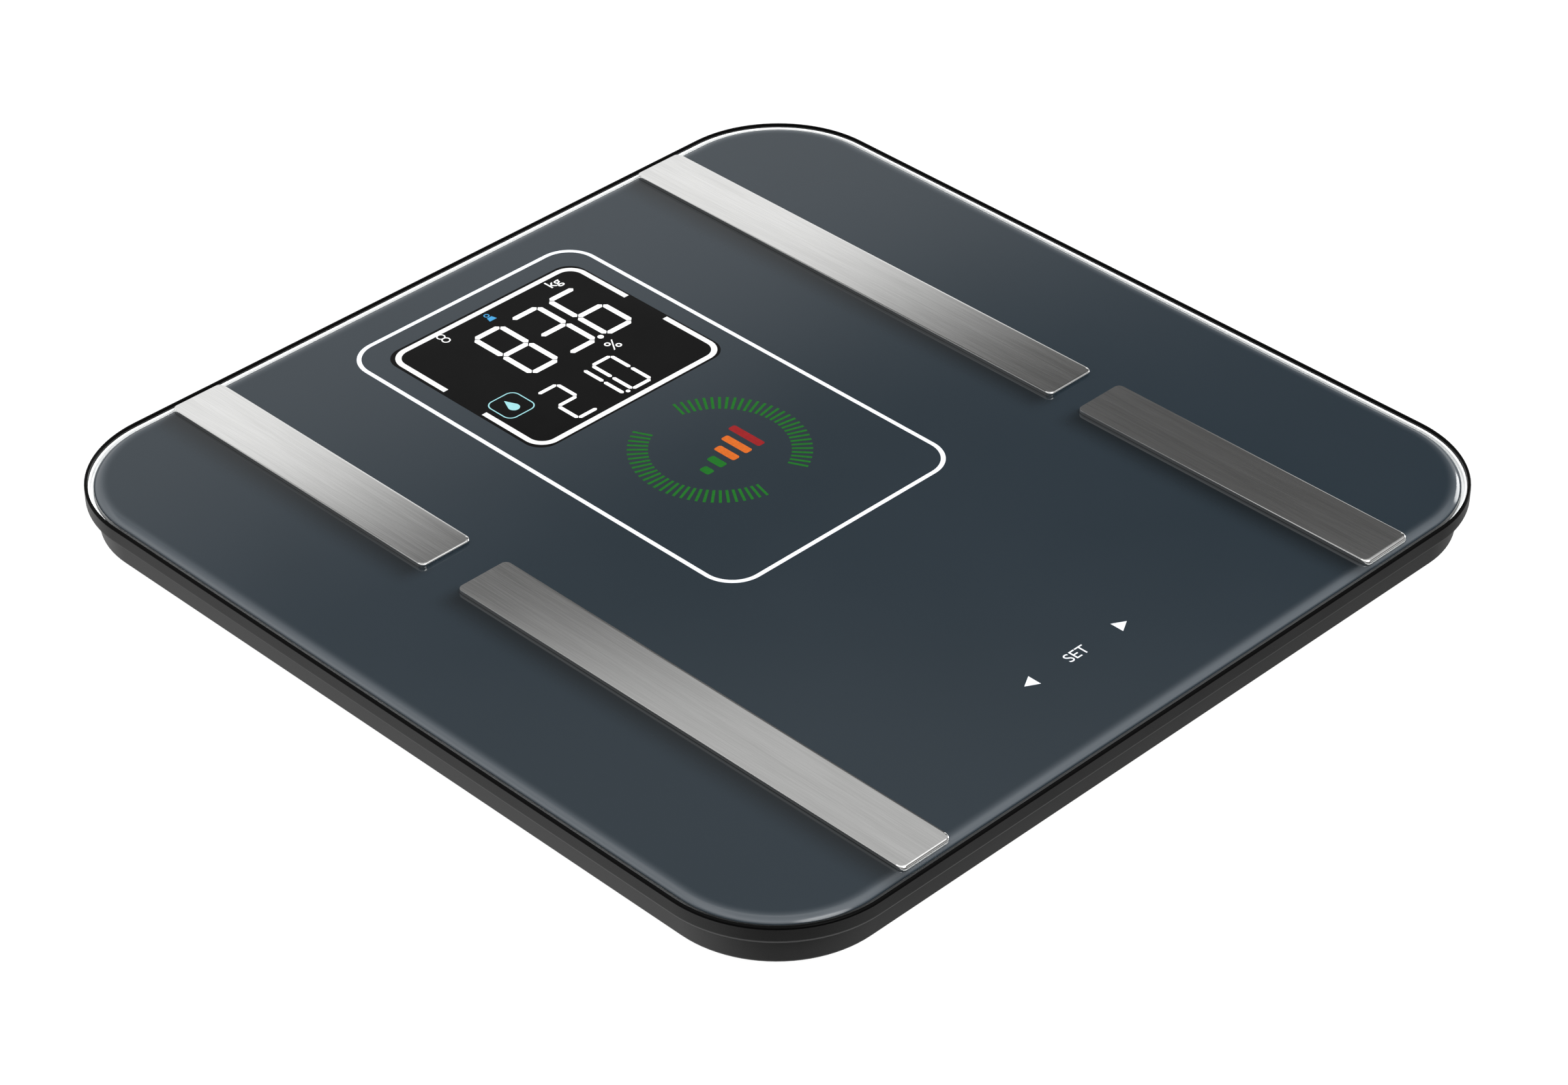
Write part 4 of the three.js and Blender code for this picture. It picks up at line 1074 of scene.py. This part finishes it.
green_ink = coloured_ink("green_ink", (0.004, 0.13, 0.008, 1.0))
orange_ink = coloured_ink("orange_ink", (0.58, 0.12, 0.01, 1.0))
red_ink = coloured_ink("red_ink", (0.26, 0.006, 0.008, 1.0))
ticks = []
for degrees in [*range(-64, 77, tick_step), *range(116, 257, tick_step)]:
    angle = math.radians(degrees)
    outward = Vector((math.cos(angle), math.sin(angle)))
    ends = [Vector(dial_centre) + outward * reach for reach in (dial_inner, dial_outer)]
    ticks.append(stroke([tuple(end) for end in ends], tick_width, print_low, print_high))
printed("dial_ticks", together(ticks), green_ink)
level_pitch = 5.4 * mm
level_width = 3.0 * mm
level_round = 0.8 * mm
level_foot = 14.5 * mm
for index, ink in enumerate((green_ink, green_ink, orange_ink, orange_ink, red_ink)):
    level_height = (4.0 + 2.4 * index) * mm
    middle = (dial_centre[0] + (index - 2) * level_pitch, level_foot + level_height / 2)
    level = prism(rectangle(level_width, level_height, level_round, middle), print_low, print_high)
    printed(f"dial_level_{index + 1}", level, ink)

# ---- Bond sheet ---------------------------------------------------------------------------------
# The grey adhesive film between glass and tray, cut out round the display and the leads' holes.


def finish_nodes(material, *names):
    """Gives CAD pieces that are shown as they are their material."""
    for name in names:
        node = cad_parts[name]
        node.data.materials.clear()
        node.data.materials.append(material)


bond_film = mottled("bond_film", grey(0.022), grey(0.036), (0.65, 0.15), 160.0, 4.0)
finish_nodes(bond_film, "bond_sheet")

# ---- Display parts ------------------------------------------------------------------------------
# Behind the glass: the black display panel in a white moulded holder, lit through a clear light
# guide with a fine pattern of dots on its back.
panel_black = moulded("panel_black", grey(0.006), grey(0.01), 0.18, grain=0.02)
holder_white = moulded("holder_white", grey(0.60), grey(0.66), 0.4)
guide_clear, guide_shader, guide_spot = principled("guide_clear", (0.82, 0.87, 0.9, 1.0), 0.12)
dot_grid = {"Vector": guide_spot, "Scale": 700.0, "Randomness": 0.0}
dot_cells = guide_spot.node("TexVoronoi", {"feature": "F1"}, dot_grid)
dots = 1.0 - dot_cells.smooth(0.25, 0.35)
dots.tint((0.78, 0.84, 0.88, 1.0), (0.95, 0.96, 0.97, 1.0)).into(guide_shader, "Base Color")
(0.1 + 0.4 * dots).into(guide_shader, "Roughness")
finish_nodes(panel_black, "display_panel")
finish_nodes(holder_white, "display_holder")
finish_nodes(guide_clear, "backlight_guide")

# ---- Circuit boards -----------------------------------------------------------------------------
# The main board behind the display and the touch board under the keys: green lacquered laminate
# with copper tracks showing through, joined by an amber flat ribbon with its own fine tracks.
board_green, board_shader, board_spot = principled("board_green", (0.01, 0.11, 0.03, 1.0), 0.25)
track_pitch = 2.4 * mm
track_lines = board_spot.node("TexWave", {"bands_direction": "Y"}, {
    "Vector": board_spot, "Scale": 1 / track_pitch / 20,
    "Distortion": 6.0, "Detail": 1.0, "Detail Scale": 3.0,
})
tracks = track_lines.smooth(0.62, 0.7)
tracks.tint((0.008, 0.085, 0.025, 1.0), (0.02, 0.17, 0.05, 1.0)).into(board_shader, "Base Color")
(0.28 - 0.08 * tracks).into(board_shader, "Roughness")
tracks.raise_in(board_shader, 0.4, 0.03 * mm)
finish_nodes(board_green, "main_board", "touch_board")
ribbon_amber, ribbon_shader, ribbon_spot = principled("ribbon_amber", (0.45, 0.16, 0.02, 1.0), 0.3)
ribbon_lines = ribbon_spot.node("TexWave", {"bands_direction": "X"}, {"Vector": ribbon_spot, "Scale": 50.0})
wires_seen = ribbon_lines.smooth(0.45, 0.6)
wires_seen.tint((0.42, 0.14, 0.015, 1.0), (0.62, 0.26, 0.06, 1.0)).into(ribbon_shader, "Base Color")
(0.34 - 0.1 * wires_seen).into(ribbon_shader, "Roughness")
finish_nodes(ribbon_amber, "touch_ribbon")

# ---- Board components ---------------------------------------------------------------------------
# On the boards: the processor, the radio in a plated can, the switch that the unit button presses,
# and three bare copper pads that feel a toe through the glass.
chip_black = moulded("chip_black", grey(0.012), grey(0.018), 0.55, grain=0.5)
can_steel = metal("can_steel", (0.62, 0.63, 0.64, 1.0), 0.25)
pad_copper = metal("pad_copper", (0.72, 0.36, 0.2, 1.0), 0.3, streak=0.2)
finish_nodes(chip_black, "processor_chip", "unit_switch")
finish_nodes(can_steel, "radio_module")
finish_nodes(pad_copper, "key_pad_left", "key_pad_middle", "key_pad_right")

# ---- Coin cells and contacts --------------------------------------------------------------------
# Two lithium coin cells side by side under the battery door, each held between a bent spring
# contact below its face and one at its rim.
cell_can = metal("cell_can", (0.66, 0.67, 0.68, 1.0), 0.22, (1.0, 0.15, 1.0), streak=0.12)
spring_steel = metal("spring_steel", (0.68, 0.66, 0.6, 1.0), 0.28)
for side in ("left", "right"):
    finish_nodes(cell_can, f"coin_cell_{side}")
    finish_nodes(spring_steel, f"negative_contact_{side}", f"positive_contact_{side}")

# ---- Load cells ---------------------------------------------------------------------------------
# A stamped spring steel plate over each foot, in a white moulded carrier under the tray. Its
# middle is a tongue, fixed at the rear, which bends upwards when the foot is pressed; here it
# is built flat in slices and is not made to bend.
load_cell_steel = metal("load_cell_steel", (0.5, 0.52, 0.54, 1.0), 0.35, (0.1, 1.0, 1.0), streak=0.15)
cell_border = 4 * mm
tongue_slot = 1.6 * mm
cell_round = 2 * mm
stamped_round = 0.3 * mm
tongue_steps = 16
opening_half = cell_half - cell_border
tongue_half = opening_half - tongue_slot
plate_edge = rectangle(2 * cell_half, 2 * cell_half, cell_round)
opening_edge = rectangle(2 * opening_half, 2 * opening_half, stamped_round)
for name, (x, y, _) in zip(corners, foot_places):
    node = f"load_cell_{name}"
    low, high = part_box(node)
    border = at(x, y, band(plate_edge, opening_edge, low.z, high.z))
    make(f"load_cell_border_{name}", border, load_cell_steel, "chassis", [node])
    sides = ((-tongue_half, low.z), (tongue_half, low.z), (tongue_half, high.z), (-tongue_half, high.z))
    slices = []
    for step in range(tongue_steps + 1):
        along_y = opening_half - (opening_half + tongue_half) * step / tongue_steps
        slices.append([(across_x, along_y, level_z) for across_x, level_z in sides])
    tongue = as_object(f"load_cell_tongue_{name}", at(x, y, stacked(slices)))
    tongue.data.materials.append(load_cell_steel)
    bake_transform(tongue)
    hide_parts(node)
    finish_nodes(holder_white, f"load_cell_carrier_{name}")

# ---- Leads --------------------------------------------------------------------------------------
# Insulated leads laid along the cover: red and black from the cells, black from the strips and
# white from the load cells, all to the main board.


def insulation(name, dark, light):
    """Soft insulation with the shallow marks of its extrusion."""
    return mottled(name, dark, light, (0.38, 0.14), 500.0, 3.0, (0.3, 0.7))


lead_red = insulation("lead_red", (0.30, 0.006, 0.005, 1.0), (0.36, 0.010, 0.008, 1.0))
lead_black = insulation("lead_black", grey(0.010), grey(0.016))
lead_white = insulation("lead_white", grey(0.58), grey(0.66))
finish_nodes(lead_red, "battery_lead_positive")
finish_nodes(lead_black, "battery_lead_negative")
for name in corners:
    finish_nodes(lead_black, f"electrode_lead_{name}")
    finish_nodes(lead_white, f"load_cell_lead_{name}")
